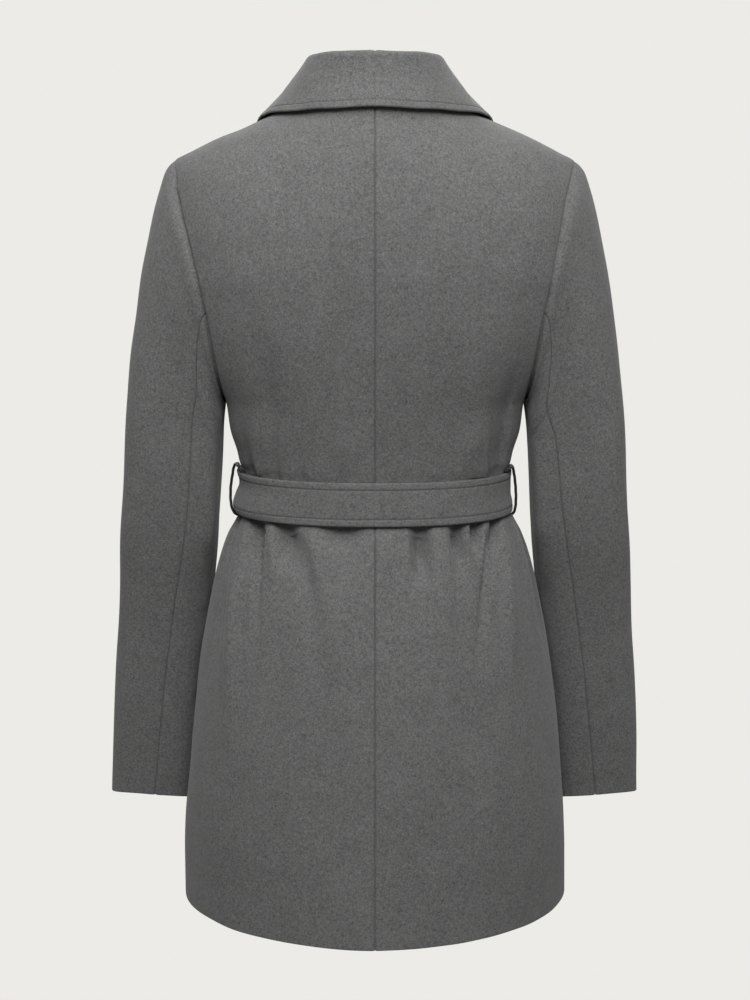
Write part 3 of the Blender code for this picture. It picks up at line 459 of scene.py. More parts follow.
def closer_ends(stops, length):
    """Shares from 0 to 1 with close stops beside both ends."""
    return closer(closer(stops, 0.0, length, before=False), 1.0, length, after=False)


BACK_STOPS = closer_ends(split_steps([0.0, NECK_SHARE, 1.0], STEP / BACK_WIDTH), BACK_WIDTH)
FRONT_STOPS = closer_ends(split_steps([0.0, 1.0], STEP / FRONT_WIDTH), FRONT_WIDTH)
NECK_COLUMN = nearest(BACK_STOPS, NECK_SHARE)


def panel_widest(face, z):
    """Angle at which a panel meets the side seam or the armhole."""
    at_armhole = ring_angle(face, read(ARMHOLE, face, z), z)
    return np.where(z > UNDERARM_Z, at_armhole, 90.0)


def back_panel(side):
    """Rows of points from hem to neck and shoulder, columns from the middle to the side."""
    share, z, up = BACK_STOPS, LEVELS[:, None], UPS[:, None]
    body = ring_points("back", side * share * panel_widest("back", z), z)
    start_x = side * body[-1, :, 0]
    round_neck = np.radians(90.0 * np.minimum(share / NECK_SHARE, 1.0))
    along_shoulder = np.clip((share - NECK_SHARE) / (1 - NECK_SHARE), 0.0, 1.0)
    end_x = (NECK_HALF_WIDTH * np.sin(round_neck)
             + (SHOULDER_TIP_X - NECK_HALF_WIDTH) * along_shoulder)
    deepest = yoke_points("back", end_x, 0.0)[:, 1]
    neck_y = NECK_DEPTH_BACK * np.cos(round_neck)
    end_climb = np.degrees(np.arccos(np.clip(neck_y / deepest, 0, 1) ** (YOKE_POWER["back"] / 2)))
    x = (1 - up) * start_x + up * end_x
    edge_x = edge_on_yoke("back", ARMHOLE, "back", 90.0 * up)
    if side > 0:
        edge_x = edge_x + read(ARMHOLE_OUT, "left", yoke_points("back", edge_x, 90.0 * up)[..., 2])
    x = x + share ** 2 * (edge_x - x[:, -1:])
    return np.concatenate([body, yoke_points("back", x, up * end_climb) * (side, 1, 1)])


def front_panel(side):
    """Rows from hem to shoulder, columns from the front edge to the side."""
    share, z, up = FRONT_STOPS, LEVELS[:, None], UPS[:, None]
    edge = ring_angle("front", read(FRONT_EDGE, "x", z), z)
    angle = edge + share * (panel_widest("front", z) - edge)
    lift = 0.0
    if side < 0:
        lift = overlap_lift(side * ring_points("front", side * angle, z)[..., 0], z)
    body = ring_points("front", side * angle, z, lift)
    start_x = side * body[-1, :, 0]
    end_x = NECK_HALF_WIDTH + (SHOULDER_TIP_X - NECK_HALF_WIDTH) * share
    x = (1 - up) * start_x + up * end_x
    x = x + (1 - share) ** 2 * (edge_on_yoke("front", FRONT_EDGE, "x", 90.0 * up) - x[:, :1])
    x = x + share ** 2 * (edge_on_yoke("front", ARMHOLE, "front", 90.0 * up) - x[:, -1:])
    yoke = yoke_points("front", x, 90.0 * up) * (side, 1, 1)
    if side < 0:
        yoke[..., 1] -= overlap_lift(x, yoke[..., 2])
    return np.concatenate([body, yoke])


# ------------------------------------------------------------ sleeve surface

FIRST_PLACE = BODY_ROWS.index(UNDERARM_Z)
SHOULDER_PLACE = len(BODY_ROWS) - 1 + YOKE_ROWS - FIRST_PLACE
# Places round the armhole: underarm, back seam, shoulder, front seam, underarm.
SLEEVE_JOINTS = [0, BODY_ROWS.index(SLEEVE_SEAM_ROW_BACK) - FIRST_PLACE, SHOULDER_PLACE,
                 2 * SHOULDER_PLACE - BODY_ROWS.index(SLEEVE_SEAM_ROW_FRONT) + FIRST_PLACE,
                 2 * SHOULDER_PLACE]
PLACE_LENGTH, PLACE_STEP = 20.0, 3.0      # usual size of one such place, and of a face there
SLEEVE_ORDER_LENGTH = 45.0                # from one section to the next
ARMHOLE_ORDER_LENGTH = 13.0
ARMHOLE_ORDER_STEP = 0.25                 # closer rows down to the second section


def sleeve_stops():
    around = split_steps(SLEEVE_JOINTS, PLACE_STEP / PLACE_LENGTH)
    for joint in (SLEEVE_JOINTS[1], SLEEVE_JOINTS[3]):
        around = closer(around, joint, PLACE_LENGTH)
    first = split_steps([0, 1, 2], ARMHOLE_ORDER_STEP)
    rest = split_steps(list(range(2, len(SLEEVE["order"]))), STEP / SLEEVE_ORDER_LENGTH)
    orders = closer(np.concatenate([first[:-1], rest]), 0.0, ARMHOLE_ORDER_LENGTH, before=False)
    return around, closer(orders, orders[-1], SLEEVE_ORDER_LENGTH, after=False)


AROUND, ORDERS = sleeve_stops()


def armhole_loop(back, front):
    """The seam from the underarm up behind, over the shoulder and down in front."""
    seam = np.concatenate([back[UNDERARM_ROW:, -1], front[UNDERARM_ROW:-1, -1][::-1]])
    place = ROW_PLACE[UNDERARM_ROW:] - FIRST_PLACE
    return between(AROUND, np.concatenate([place, 2 * SHOULDER_PLACE - place[:-1][::-1]]), seam)


def sleeve_angles(word):
    """Settled angle of every sleeve point round its section, 0 outside and 90 behind."""
    seams = zip(read(SLEEVE_SEAMS, word, ORDERS), read(SLEEVE_SEAMS, "front", ORDERS))
    return np.array([np.interp(AROUND, SLEEVE_JOINTS, (180.0, behind, 0.0, in_front, -180.0))
                     for behind, in_front in seams])


def sleeve_grid(side, word, loop):
    """Sections of a whole sleeve from the armhole seam to the hem."""
    order = ORDERS[:, None]
    part = {name: read(SLEEVE, name, order) for name in SLEEVE if name != "order"}
    top = points(side * part["outer_x"], 0.0, part["outer_z"])
    low = points(side * part["inner_x"], 0.0, part["inner_z"])
    middle, half = (top + low) / 2, (top - low) / 2
    away = loop - middle[0]
    height = away @ half[0, 0] / (half[0, 0] @ half[0, 0])
    depth = away[:, 1]
    rest = away - height[:, None] * half[0, 0] - points(0.0, depth, 0.0)
    angle = np.degrees(np.arctan2(depth / SLEEVE["half_depth"][0], height))
    angle[0], angle[-1] = 180.0, -180.0
    settled = part["settled"]
    turn = np.radians((1 - settled) * angle + settled * sleeve_angles(word))
    round_off = 2 / part["power"]
    ring_height = np.sign(np.cos(turn)) * np.abs(np.cos(turn)) ** round_off
    ring_depth = np.sign(np.sin(turn)) * np.abs(np.sin(turn)) ** round_off
    flatter = (1 - np.abs(ring_height) ** INNER_POWER).clip(0.0) ** (1 / INNER_POWER)
    inner_back = (ring_height < 0) & (ring_depth > 0)
    share = within(INNER_FLAT, order)
    ring_depth = np.where(inner_back, (1 - share) * ring_depth + share * flatter, ring_depth)
    ring_depth = ring_depth * part["half_depth"]
    h = (1 - settled) * height + settled * ring_height
    y = (1 - settled) * depth + settled * ring_depth + part["middle_y"]
    rise = part["back_rise"] * np.sin(turn)
    return middle + h[..., None] * half + points(0.0, y, rise) + (1 - settled)[..., None] * rest


def sleeve_normals(grid):
    """Normals of a sleeve, whose first and last column are one."""
    return wrap(closed_normals(grid[:, :-1], (grid - grid.mean(axis=1, keepdims=True))[:, :-1]))


# ------------------------------------------------------------- collar surface

# Shares of the way up the stand, and of the way round the roll.
COLLAR_STAND = np.concatenate([[0.0, 0.012], np.linspace(0.05, 1.0, 11)[:-1]])
COLLAR_ROLL = np.linspace(0.0, 1.0, 9)
TOPSTITCH_IN = 7.0        # the stitch line runs this far inside an edge
# Distances from the collar's edge of its last rows; the rest are even.
NEAR_EDGE = (0.0, 0.35, 0.8, 1.3, 2.0, 3.0, 4.2, 5.4, 6.1, 6.6, 7.0, 7.4, 7.9, 8.7, 10.2, 12.0)
FALL_ROWS = 18
SHORT_FALL = 22.0         # a shorter fall has these rows closer together
COLLAR_FLAT_BY = 70.0     # this far past the neck point the collar lies flat on the front
ROLL_DROP = 0.2           # the roll turns over as if the fall were at least this steep
COLLAR_OUT_ROWS = 4       # the last rows of the fall, which show which side is out


def fall_shares(length):
    """Places down the collar's fall, from the roll to the edge, as shares of its length."""
    near = np.array(NEAR_EDGE) * min(1.0, length / SHORT_FALL)
    far = np.linspace(near[-1], length, FALL_ROWS + 1)[1:-1]
    return 1 - np.concatenate([near, far])[::-1] / length


def skin_of(*grids):
    """The outer faces of some panels, as one tree to measure heights from."""
    vertices, faces = [], []
    for grid in grids:
        faces += (len(vertices) + cells(numbers(*grid.shape[:2]))).tolist()
        vertices += grid.reshape(-1, 3).tolist()
    return BVHTree.FromPolygons(vertices, faces)


def over_skin(spot, skin, least, most, less=0.0):
    """Move a point in by the share `less` of its height over the skin, and into a range of heights."""
    for _ in range(SKIN_ROUNDS):
        place, normal, _, _ = skin.find_nearest(Vector(spot))
        away = np.array(normal)
        if np.dot(away, np.array(place) * (1.0, 1.0, 0.0)) < 0:
            away = -away
        height = np.dot(spot - np.array(place), away)
        spot = spot + (np.clip((1 - less) * height, least, most) - height) * away
        less = 0.0
    return spot


def collar_grid(side, seam, seam_normals, opening, skin):
    """Middle surface of a collar half: stations along the seam, then up, over and down."""
    along = run(seam, 0)
    part = {name: read(COLLAR, name, along) for name in COLLAR}
    edges = points(side * part["edge_x"], part["edge_y"], part["edge_z"])
    neck_length = along[NECK_COLUMN]
    rows = []
    for j, (spot, normal) in enumerate(zip(seam, seam_normals)):
        stand, roll, lean = part["stand"][j], part["roll"][j], part["lean"][j]
        flat = ease(neck_length, neck_length + COLLAR_FLAT_BY, along[j])
        level = unit(spot * (1.0, 1.0, 0.0)) if along[j] <= neck_length else np.array((side, 0, 0))
        rise = unit((1 - flat) * (np.array((0, 0, 1.0)) - lean * level) + flat * opening[j])
        outward = (1 - flat) * level + flat * normal
        outward = unit(outward - (outward @ rise) * rise)
        foot = spot - 0.5 * CLOTH * normal + COLLAR_GAP * opening[j]
        base = foot + COLLAR_TURN * abs(rise @ normal) * opening[j]
        off = part["off"][j] - 0.5 * CLOTH
        edge = over_skin(edges[j], skin, off, off)
        top = base + stand * rise
        centre = top + roll * outward
        down = unit(edge - centre)
        turned = np.pi - np.arctan2(max(down @ outward, 0.0), max(-(down @ rise), ROLL_DROP))
        arc = turned * COLLAR_ROLL[:, None]
        bend = centre - roll * np.cos(arc) * outward + roll * np.sin(arc) * rise
        fall = fall_shares(np.linalg.norm(edge - bend[-1]))
        sag = COLLAR_SAG * (1 - ease(*COLLAR_SAG_ENDS, along[j])) * np.sin(np.pi * fall)
        drop = [over_skin(spot, skin, 0.5 * CLOTH + COLLAR_CLEAR, np.inf, less)
                for spot, less in zip(bend[-1] + fall[:, None] * (edge - bend[-1]), sag)]
        up = COLLAR_STAND[:-1, None]
        stood = foot + np.sign(up) * (base - foot) + up * stand * rise
        rows.append(np.concatenate([stood, bend, drop]))
    return np.array(rows)


# ---------------------------------------------------------- creases and seams

# Soft troughs in the cloth (a negative depth is a ridge). Each runs straight
# from one place to another, bowed sideways by "bow", is deepest at "peak" of
# its length and fades to nothing at both ends. "right" and "left" are its
# reach to either side. Places are girths from the middle, + on the wearer's
# left, and heights.
CREASES = {         # girth, z, to_girth, to_z, bow, depth, right, left, peak
    "back": [
        # over the belt
        (101, -255, 101, -405, -3, 4.6, 6, 14, 0.76),
        (124, -290, 122, -405, 0, -3, 10, 13, 0.78),
        (152, -300, 146, -405, 0, 3.2, 12, 14, 0.70),
        (74, -305, 69, -405, 0, 2.8, 7, 8, 0.66),
        (53, -310, 60, -405, 0, -1.4, 8, 8, 0.60),
        (36, -320, 30, -405, 0, 2.6, 7, 9, 0.62),
        (8, -325, 6, -405, 0, -0.7, 9, 10, 0.60),
        (-78, -200, -72, -405, -4, 2.8, 22, 20, 0.55),
        (-104, -240, -114, -405, -2, -3.2, 6, 34, 0.70),
        (-115, -300, -123, -405, 0, 3.4, 4, 5, 0.68),
        (-142, -225, -141, -402, 0, 8.5, 8, 32, 0.62),
        (142, -290, 140, -405, 0, 7.5, 24, 8, 0.74),
        (30, -290, 26, -357, 0, -3, 32, 30, 0.55),
        (-92, -290, -92, -357, 0, -3, 18, 16, 0.55),
        (-52, -330, -50, -405, 0, 1.6, 9, 7, 0.65),
        (-20, -330, -24, -405, 0, 1.4, 9, 9, 0.65),
        (108, -165, 101, -330, 0, 3.4, 20, 24, 0.60),
        (22, -150, 34, -310, 0, 2.6, 22, 24, 0.50),
        # under the belt, wearer's left
        (160, -384, 170, -470, 0, 8, 6, 12, 0.30),
        (124, -384, 120, -456, 0, 17, 8, 20, 0.37),
        (91, -384, 84, -450, 0, 16, 17, 17, 0.38),
        (33, -384, 30, -424, 0, 8, 28, 28, 0.42),
        (113, -392, 114, -540, 3, 6.4, 2.4, 14, 0.18),
        (103, -396, 99, -500, 0, -2.4, 8, 8, 0.20),
        (84, -396, 56, -520, -9, 4.6, 12, 20, 0.20),
        (66, -392, 34, -600, -8, -3.4, 16, 16, 0.30),
        (32, -396, 20, -470, 0, 2.8, 26, 30, 0.20),
        (146, -392, 152, -680, 4, -5, 18, 12, 0.30),
        (168, -396, 178, -640, 0, 2.4, 6, 16, 0.30),
        # under the belt, wearer's right
        (-12, -392, -10, -470, 0, -1.8, 14, 14, 0.30),
        (-43, -384, -46, -460, 0, 18, 14, 14, 0.38),
        (-60, -396, -72, -620, 0, -3.4, 16, 12, 0.30),
        (-81, -384, -86, -456, 0, 17, 10, 14, 0.37),
        (-103, -384, -101, -442, 0, 13, 12, 10, 0.40),
        (-127, -384, -121, -452, 0, 13, 18, 5, 0.36),
        (-121, -396, -100, -560, 6, 6.4, 14, 3.6, 0.16),
        (-140, -392, -134, -620, -4, -4.6, 14, 16, 0.30),
        (-160, -392, -190, -540, 0, -2.2, 6, 12, 0.40),
        (-180, -390, -214, -560, 0, 5.5, 18, 9, 0.34),
        # down the skirt
        (96, -470, 104, -720, 0, 1.6, 24, 26, 0.35),
        (20, -470, 14, -660, 0, 1.2, 26, 26, 0.35),
        (-84, -480, -96, -740, 0, 1.5, 26, 26, 0.35),
        (-20, -560, -30, -780, 0, -1, 30, 30, 0.40),
    ],
    "front": [
        (104, -250, 102, -405, 2, 2.6, 14, 6, 0.70),
        (82, -300, 88, -405, 0, -1.3, 10, 10, 0.70),
        (60, -290, 66, -405, 0, 2, 9, 8, 0.66),
        (-70, -300, -66, -405, 0, 1.7, 8, 10, 0.66),
        (-100, -240, -106, -405, 0, 3, 7, 16, 0.68),
        (-126, -300, -124, -405, 0, -1.2, 10, 12, 0.70),
        (40, -200, 70, -340, 5, 1.4, 24, 22, 0.50),
        (-30, -180, -64, -330, -5, 1.5, 22, 24, 0.50),
        (146, -388, 138, -500, 0, 2.8, 9, 12, 0.30),
        (118, -388, 112, -560, 0, 4.2, 12, 10, 0.22),
        (98, -392, 84, -600, 0, -2, 14, 12, 0.25),
        (78, -388, 70, -490, 0, 3.8, 11, 9, 0.26),
        (-44, -388, -40, -470, 0, 3.4, 10, 12, 0.28),
        (-64, -392, -60, -560, 0, -1.6, 10, 10, 0.25),
        (-82, -388, -74, -530, -3, 4.3, 12, 10, 0.24),
        (-112, -388, -120, -590, 0, 4, 11, 12, 0.22),
        (-134, -392, -142, -560, 0, -2.2, 13, 12, 0.26),
        (-156, -388, -160, -480, 0, 2.4, 10, 9, 0.32),
        (60, -480, 44, -730, 0, 1.5, 26, 26, 0.35),
        (-96, -480, -104, -730, 0, 1.4, 26, 26, 0.35),
    ],
}
CREASE_FADE = 9.0         # creases fade out this close to a side, neck or armhole seam

# The armhole seam: how deep it lies, and how far the dip reaches into the body
# and into the sleeve. Behind, the two sides differ.
TIP_DIP = 0.45            # the seam is shallow over the shoulder's tip
ARMHOLE_DIPS = {
    "front": table("z depth body_reach sleeve_reach", [
        (UNDERARM_Z, SEAM_DIP, SEAM_REACH, SEAM_REACH), (-170, SEAM_DIP, SEAM_REACH, 1.8),
        (-85, SEAM_DIP, SEAM_REACH, 1.8), (SHOULDER_TIP_Z, TIP_DIP, SEAM_REACH, SEAM_REACH),
    ]),
    "left": table("z depth body_reach sleeve_reach", [
        (UNDERARM_Z, 4, 2.6, 2), (-262, 4, 2.6, 1.8), (-225, 3.6, 2.6, 1.6), (-190, 3.4, 1.6, 2),
        (-150, 3.8, 1.1, 2.6), (-120, 3.8, 1, 2.8), (-95, 3.6, 1, 2.8), (-76, 2.6, 1, 2.8),
        (SHOULDER_TIP_Z, TIP_DIP, SEAM_REACH, SEAM_REACH),
    ]),
    "right": table("z depth body_reach sleeve_reach", [
        (UNDERARM_Z, 4, 2.2, 1.4), (-262, 3.8, 2.4, 1.4), (-225, 3.6, 2.2, 1.4),
        (-190, 2.4, 1.8, 1.4), (-160, 1.6, 1.3, 1.5), (-110, 1.4, 1.3, 1.8), (-80, 1.2, 1.3, 1.6),
        (SHOULDER_TIP_Z, TIP_DIP, SEAM_REACH, SEAM_REACH),
    ]),
}
SHOULDER_FADE = 26.0      # the shoulder seam grows shallow this close to the armhole
LAPEL_ROWS = 12           # a front's stitch line fades out over the last rows below its lapel
# Rows of a front, and of a hanging belt end, beside which the edge is stitched.
FRONT_STITCHED, BELT_END_STITCHED = slice(6, LAPEL_ROW - 3), slice(8, None)

# Creases of the sleeves, placed by angle round the section (0 outside, 90
# behind, 180 inside) and by its order from the armhole to the hem.
SLEEVE_CREASES = {  # angle, order, to_angle, to_order, depth, reach, peak
    "left": [
        (170, 5.4, 108, 3.4, 1.6, 0.42, 0.40),
        (176, 7, 100, 5.8, 1.3, 0.45, 0.40),
        (178, 10.6, 104, 9.9, 1.5, 0.40, 0.45),
        (-178, 9.6, -100, 8.6, 1.6, 0.40, 0.40),
        (176, 11.6, 116, 11.9, 1.1, 0.35, 0.40),
        (-172, 10.8, -96, 10.5, 1.4, 0.38, 0.45),
        (60, 10.2, 20, 9.2, -0.8, 0.70, 0.50),
        (168, 13.2, 120, 14.1, 0.9, 0.40, 0.40),
    ],
    "right": [
        (172, 5, 114, 3.1, 1.5, 0.42, 0.40),
        (178, 6.6, 106, 5.2, 1.4, 0.42, 0.42),
        (177, 10.3, 98, 10, 1.3, 0.42, 0.42),
        (-176, 9.9, -104, 9, 1.5, 0.38, 0.40),
        (174, 11.4, 120, 11, 1.2, 0.36, 0.45),
        (-170, 11.2, -110, 10.9, 1.2, 0.36, 0.45),
        (50, 9.6, 10, 8.7, -0.8, 0.70, 0.50),
        (166, 12.9, 118, 13.5, 0.9, 0.40, 0.40),
    ],
}

# Between these orders the inner side of a sleeve is pressed in by the skirt.
BESIDE_SKIRT = (9.6, 11.0, 13.5, 15.5)
BESIDE_SKIRT_DIP, BESIDE_SKIRT_ANGLE, BESIDE_SKIRT_REACH = 2.4, 146.0, 60.0

# Slow unevenness of hanging cloth: waves across the whole coat.
WAVES = [
    # size, radians in each metre along X, Y and Z, start
    (0.34, 62, 31, 17, 0.4),
    (0.30, -38, 54, 29, 2.1),
    (0.22, 95, -47, 41, 4),
    (0.16, 128, 83, -66, 1.3),
]

GROOVE_DEPTH, GROOVE_REACH = 0.62, 0.60   # of a stitch line
COLLAR_GROOVE = 0.40
COLLAR_FALL = (0.25, 0.5)  # the stand has no stitch line; past these shares is the fall
COLLAR_UNEVEN = 0.4       # the collar is calmer than the panels by this factor
PAD_HEIGHT = 0.36         # the edge outside a stitch line is padded by the layers in it
HEM_CLOTH = 3.4           # wall of the turned-up hem
HEM_ALLOWANCE, HEM_STEP = 38.0, 4.0


def soft_ends(peak):
    """A crease's depth grows from nothing to its peak and fades again."""
    return 0.0, peak, peak, 1.0


def creases(rows, x, z, ends=soft_ends):
    """How far a table of creases presses a face in, by the places of its points."""
    depth = np.zeros(x.shape)
    for start_x, start_z, end_x, end_z, bow, deep, right, left, peak in rows:
        run_x, run_z = end_x - start_x, end_z - start_z
        length = np.hypot(run_x, run_z)
        off_x, off_z = x - start_x, z - start_z
        t = np.clip((off_x * run_x + off_z * run_z) / length ** 2, 0.0, 1.0)
        across = (off_z * run_x - off_x * run_z) / length - 4 * bow * t * (1 - t)
        depth += deep * hump(across, np.where(across < 0, right, left)) * within(ends(peak), t)
    return depth


def sleeve_creases(word, angle):
    """The same on a sleeve, at a grid of angles in [-180, 180]."""
    depth = np.zeros(angle.shape)
    for start, order, end, end_order, deep, reach, peak in SLEEVE_CREASES[word]:
        t = np.clip((angle - start) / (end - start), 0.0, 1.0)
        away = ORDERS[:, None] - order - t * (end_order - order)
        depth += deep * hump(away, reach) * within(soft_ends(peak), t)
    return depth


def unevenness(grid):
    """Slow waves, read in space so that they run on across the seams."""
    return sum(size * np.sin((grid @ np.array((x, y, z))) * MM + start)
               for size, x, y, z, start in WAVES)


def seam_dip(away, depth=SEAM_DIP, reach=SEAM_REACH):
    """A seam's valley and the faint swell of its allowance, by distance from its line."""
    valley = depth * np.exp(-(away / reach) ** SEAM_ROUNDNESS)
    return valley - SEAM_SWELL * hump(away - SEAM_SWELL_AT, SEAM_SWELL_REACH)


def topstitch(away, groove=GROOVE_DEPTH):
    """Depth of the stitch line beside an edge, and of the padded edge outside it."""
    half = 0.5 * TOPSTITCH_IN
    pad = np.clip(1 - ((away - half) / half) ** 4, 0.0, 1.0)
    return groove * np.exp(-((away - TOPSTITCH_IN) / GROOVE_REACH) ** 2) - PAD_HEIGHT * pad


def round_off(away, thick):
    """How far both faces of a wall draw in beside a free edge, to round it."""
    radius = 0.5 * thick
    gap = 1 - np.clip(away / radius, 0.0, 1.0)
    return radius * (1 - np.sqrt(np.clip(1 - gap ** 2, 0.0, 1.0)))


# ------------------------------------------------------------- mesh building

def numbers(rows, columns, closed=False):
    """Numbers of a grid's points, row by row."""
    place = np.arange(rows * columns).reshape(rows, columns)
    return wrap(place) if closed else place


def cells(place):
    """The four corners of every cell of a numbered grid."""
    corners = [place[:-1, :-1], place[:-1, 1:], place[1:, 1:], place[1:, :-1]]
    return np.stack(corners, -1).reshape(-1, 4)


def sheet_faces(rows, columns, closed):
    """Faces of a thick sheet whose outer grid comes first and inner grid second."""
    place, half = numbers(rows, columns, closed), rows * columns
    rims = [place[0], place[-1][::-1]]
    if not closed:
        rims += [place[::-1, 0], place[:, -1]]
    rims = [np.stack([rim[:-1], half + rim[:-1], half + rim[1:], rim[1:]], 1) for rim in rims]
    return np.concatenate([cells(place), half + cells(place)[:, [0, 3, 2, 1]], *rims])


def tube_faces(rows, columns):
    """Faces of a tube of points, with a cap at each end."""
    place = numbers(rows, columns, closed=True)
    return cells(place).tolist() + [place[0, :-1][::-1].tolist(), place[-1, :-1].tolist()]


def link(name, data):
    """A new object in the scene."""
    thing = bpy.data.objects.new(name, data)
    bpy.context.scene.collection.objects.link(thing)
    return thing


FINISHES = {}             # materials by name, made by build()


def make_mesh(name, vertices, faces, finish, sharp=50.0):
    """A shaded mesh object in metres, with its faces pointing out."""
    vertices = np.asarray(vertices, dtype=float).reshape(-1, 3)
    mesh = bpy.data.meshes.new(name)
    mesh.from_pydata((vertices * MM).tolist(), [], [list(face) for face in faces])
    mesh.materials.append(FINISHES[finish])
    mesh.calc_loop_triangles()
    corners = np.zeros(3 * len(mesh.loop_triangles), dtype=int)
    mesh.loop_triangles.foreach_get("vertices", corners)
    a, b, c = np.moveaxis(vertices[corners.reshape(-1, 3)], 1, 0)
    if np.sum(np.cross(a, b) * c) < 0:
        mesh.flip_normals()
    mesh.shade_smooth()
    mesh.set_sharp_from_angle(angle=np.radians(sharp))
    return link(name, mesh)


def place_piece(piece, slot, *replaced):
    """Every piece rides on the coat's one body."""
    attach(piece, "root")
    if replaced:
        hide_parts(*replaced)


def shell(node, outer, inner, closed=False):
    """The wool piece that stands for a node, between two grids of points."""
    vertices = np.concatenate([outer.reshape(-1, 3), inner.reshape(-1, 3)])
    piece = make_mesh("wool_" + node, vertices, sheet_faces(*outer.shape[:2], closed), "wool")
    place_piece(piece, "wool", node)


def wall(node, surface, normals, free, thick=CLOTH, dip=0.0):
    """A cloth wall under a surface: pressed in by `dip`, round at its free edges."""
    drawn = round_off(free, thick)
    outer = surface - (dip + drawn)[..., None] * normals
    shell(node, outer, surface - (dip + thick - drawn)[..., None] * normals)
    return outer


# ----------------------------------------------------------------- materials

class Nodes:
    """Adds nodes to one material and joins them, a short line each."""

    def __init__(self, name, colour, **shader):
        self.material = bpy.data.materials.new(name)
        self.material.use_nodes = True
        self.material.diffuse_color = (*colour, 1.0)
        self.tree = self.material.node_tree
        self.shader = self.tree.nodes["Principled BSDF"]
        self.put(self.shader, Base_Color=(*colour, 1.0), **shader)
        self.place = self.add("ShaderNodeTexCoord").outputs["Object"]

    def join(self, value, socket):
        """Give a socket another node's output, or a number or colour."""
        if isinstance(value, bpy.types.NodeSocket):
            self.tree.links.new(value, socket)
        else:
            socket.default_value = value

    def put(self, node, **inputs):
        for name, value in inputs.items():
            self.join(value, node.inputs[name.replace("_", " ")])

    def add(self, kind, **inputs):
        node = self.tree.nodes.new(kind)
        self.put(node, **inputs)
        return node

    def noise(self, size, detail=2.0, distortion=0.0, roughness=0.5):
        """Noise in the object's own space; `size` is about one blob, in mm."""
        node = self.add("ShaderNodeTexNoise", Vector=self.place, Scale=1 / (size * MM), Detail=detail,
                        Roughness=roughness, Distortion=distortion)
        return node.outputs["Fac"]

    def math(self, operation, *values):
        node = self.add("ShaderNodeMath")
        node.operation = operation
        for value, socket in zip(values, node.inputs):
            self.join(value, socket)
        return node.outputs[0]

    def ramp(self, at, *stops):
        """A soft blend between two greys, by the value of `at`."""
        node = self.add("ShaderNodeValToRGB", Fac=at)
        band = node.color_ramp
        band.interpolation = "EASE"
        for element, (position, grey) in zip(band.elements, stops):
            element.position = position
            element.color = (grey, grey, grey, 1.0)
        return node.outputs["Color"]

    def bump(self, height, distance, strength, **under):
        node = self.add("ShaderNodeBump", Height=height, Distance=distance * MM, Strength=strength, **under)
        return node.outputs["Normal"]

    def finish(self, colour, normal):
        self.put(self.shader, Base_Color=colour, Normal=normal)
        return self.material


WOOL_GREY = 0.105
WOOL_WARMTH = (1.0, 0.997, 0.992)
WOOL_CONTRAST = 2.0       # how far light and dark fibres stand from the mean
WOOL_MEAN = 0.90          # of the noises below, as they are mixed


def wool():
    """Felted melange: light and dark fibres worked together, with a short nap."""
    nodes = Nodes("wool_melange", [WOOL_GREY * warm for warm in WOOL_WARMTH], Roughness=0.92,
                  Sheen_Weight=0.12, Sheen_Roughness=0.55, Specular_IOR_Level=0.25)
    blobs = nodes.noise(2.2, detail=2.0, distortion=0.9, roughness=0.62)
    worms = nodes.noise(2.9, detail=1.0, distortion=2.4)
    fibres = nodes.noise(0.7, detail=2.0, distortion=1.2, roughness=0.7)
    clouds = nodes.noise(26.0, detail=1.5)
    mixed = nodes.math("MULTIPLY", blobs, 0.75)
    for layer, share in ((worms, 0.55), (fibres, 0.40), (clouds, 0.10)):
        mixed = nodes.math("MULTIPLY_ADD", layer, share, mixed)
    scale = nodes.math("MULTIPLY_ADD", nodes.math("SUBTRACT", mixed, WOOL_MEAN), WOOL_CONTRAST, 1.0)
    channels = {name: nodes.math("MULTIPLY", scale, WOOL_GREY * warm)
                for name, warm in zip(("Red", "Green", "Blue"), WOOL_WARMTH)}
    tint = nodes.add("ShaderNodeCombineColor", **channels)
    felt = nodes.bump(blobs, 0.35, 0.30)
    return nodes.finish(tint.outputs[0], nodes.bump(fibres, 0.16, 0.55, Normal=felt))


def thread(name, grey):
    """Sewing thread or cord, smooth, with a fine twist."""
    nodes = Nodes(name, (grey, grey, grey), Roughness=0.6, Sheen_Weight=0.1)
    strands = nodes.noise(1.1, detail=1.0, distortion=0.5)
    colour = nodes.ramp(strands, (0.3, grey * 0.7), (0.7, grey * 1.35))
    return nodes.finish(colour, nodes.bump(strands, 0.12, 0.6))


def paper():
    """Plain pale paper, so evenly lit that it shows no shadow."""
    return Nodes("pale_paper", (0.0, 0.0, 0.0), Roughness=1.0, Specular_IOR_Level=0.0,
                 Emission_Color=(*BACKDROP_COLOUR, 1.0), Emission_Strength=1.0).material


# --------------------------------------------------------------------- sewing

STITCH_PITCH = 3.6
STITCH_LENGTH, STITCH_WIDTH = 2.7, 0.75
STITCH_SUNK = 0.10        # how much of its height a stitch lies in the cloth
STITCH_AIM = 0.4 * STITCH_LENGTH   # how far before and after its middle the line is read, to point it
STITCH_AROUND, STITCH_ALONG = 6, 5


def line_at(values, away, distance):
    """The values at one distance from an edge, a point for each row of the grid."""
    rows = []
    for row, gone in zip(values, away):
        order = np.argsort(gone)
        rows.append(between(distance, gone[order], row[order]))
    return np.array(rows)


def stitch_form():
    """One stitch along +X with its round top along +Z."""
    t = np.linspace(-1.0, 1.0, STITCH_ALONG + 2)[1:-1, None]
    turn = 2 * np.pi * np.arange(STITCH_AROUND) / STITCH_AROUND
    width = STITCH_WIDTH * np.sqrt(1 - np.abs(t) ** 3)
    return 0.5 * points(STITCH_LENGTH * t, width * np.cos(turn), width * np.sin(turn)).reshape(-1, 3)


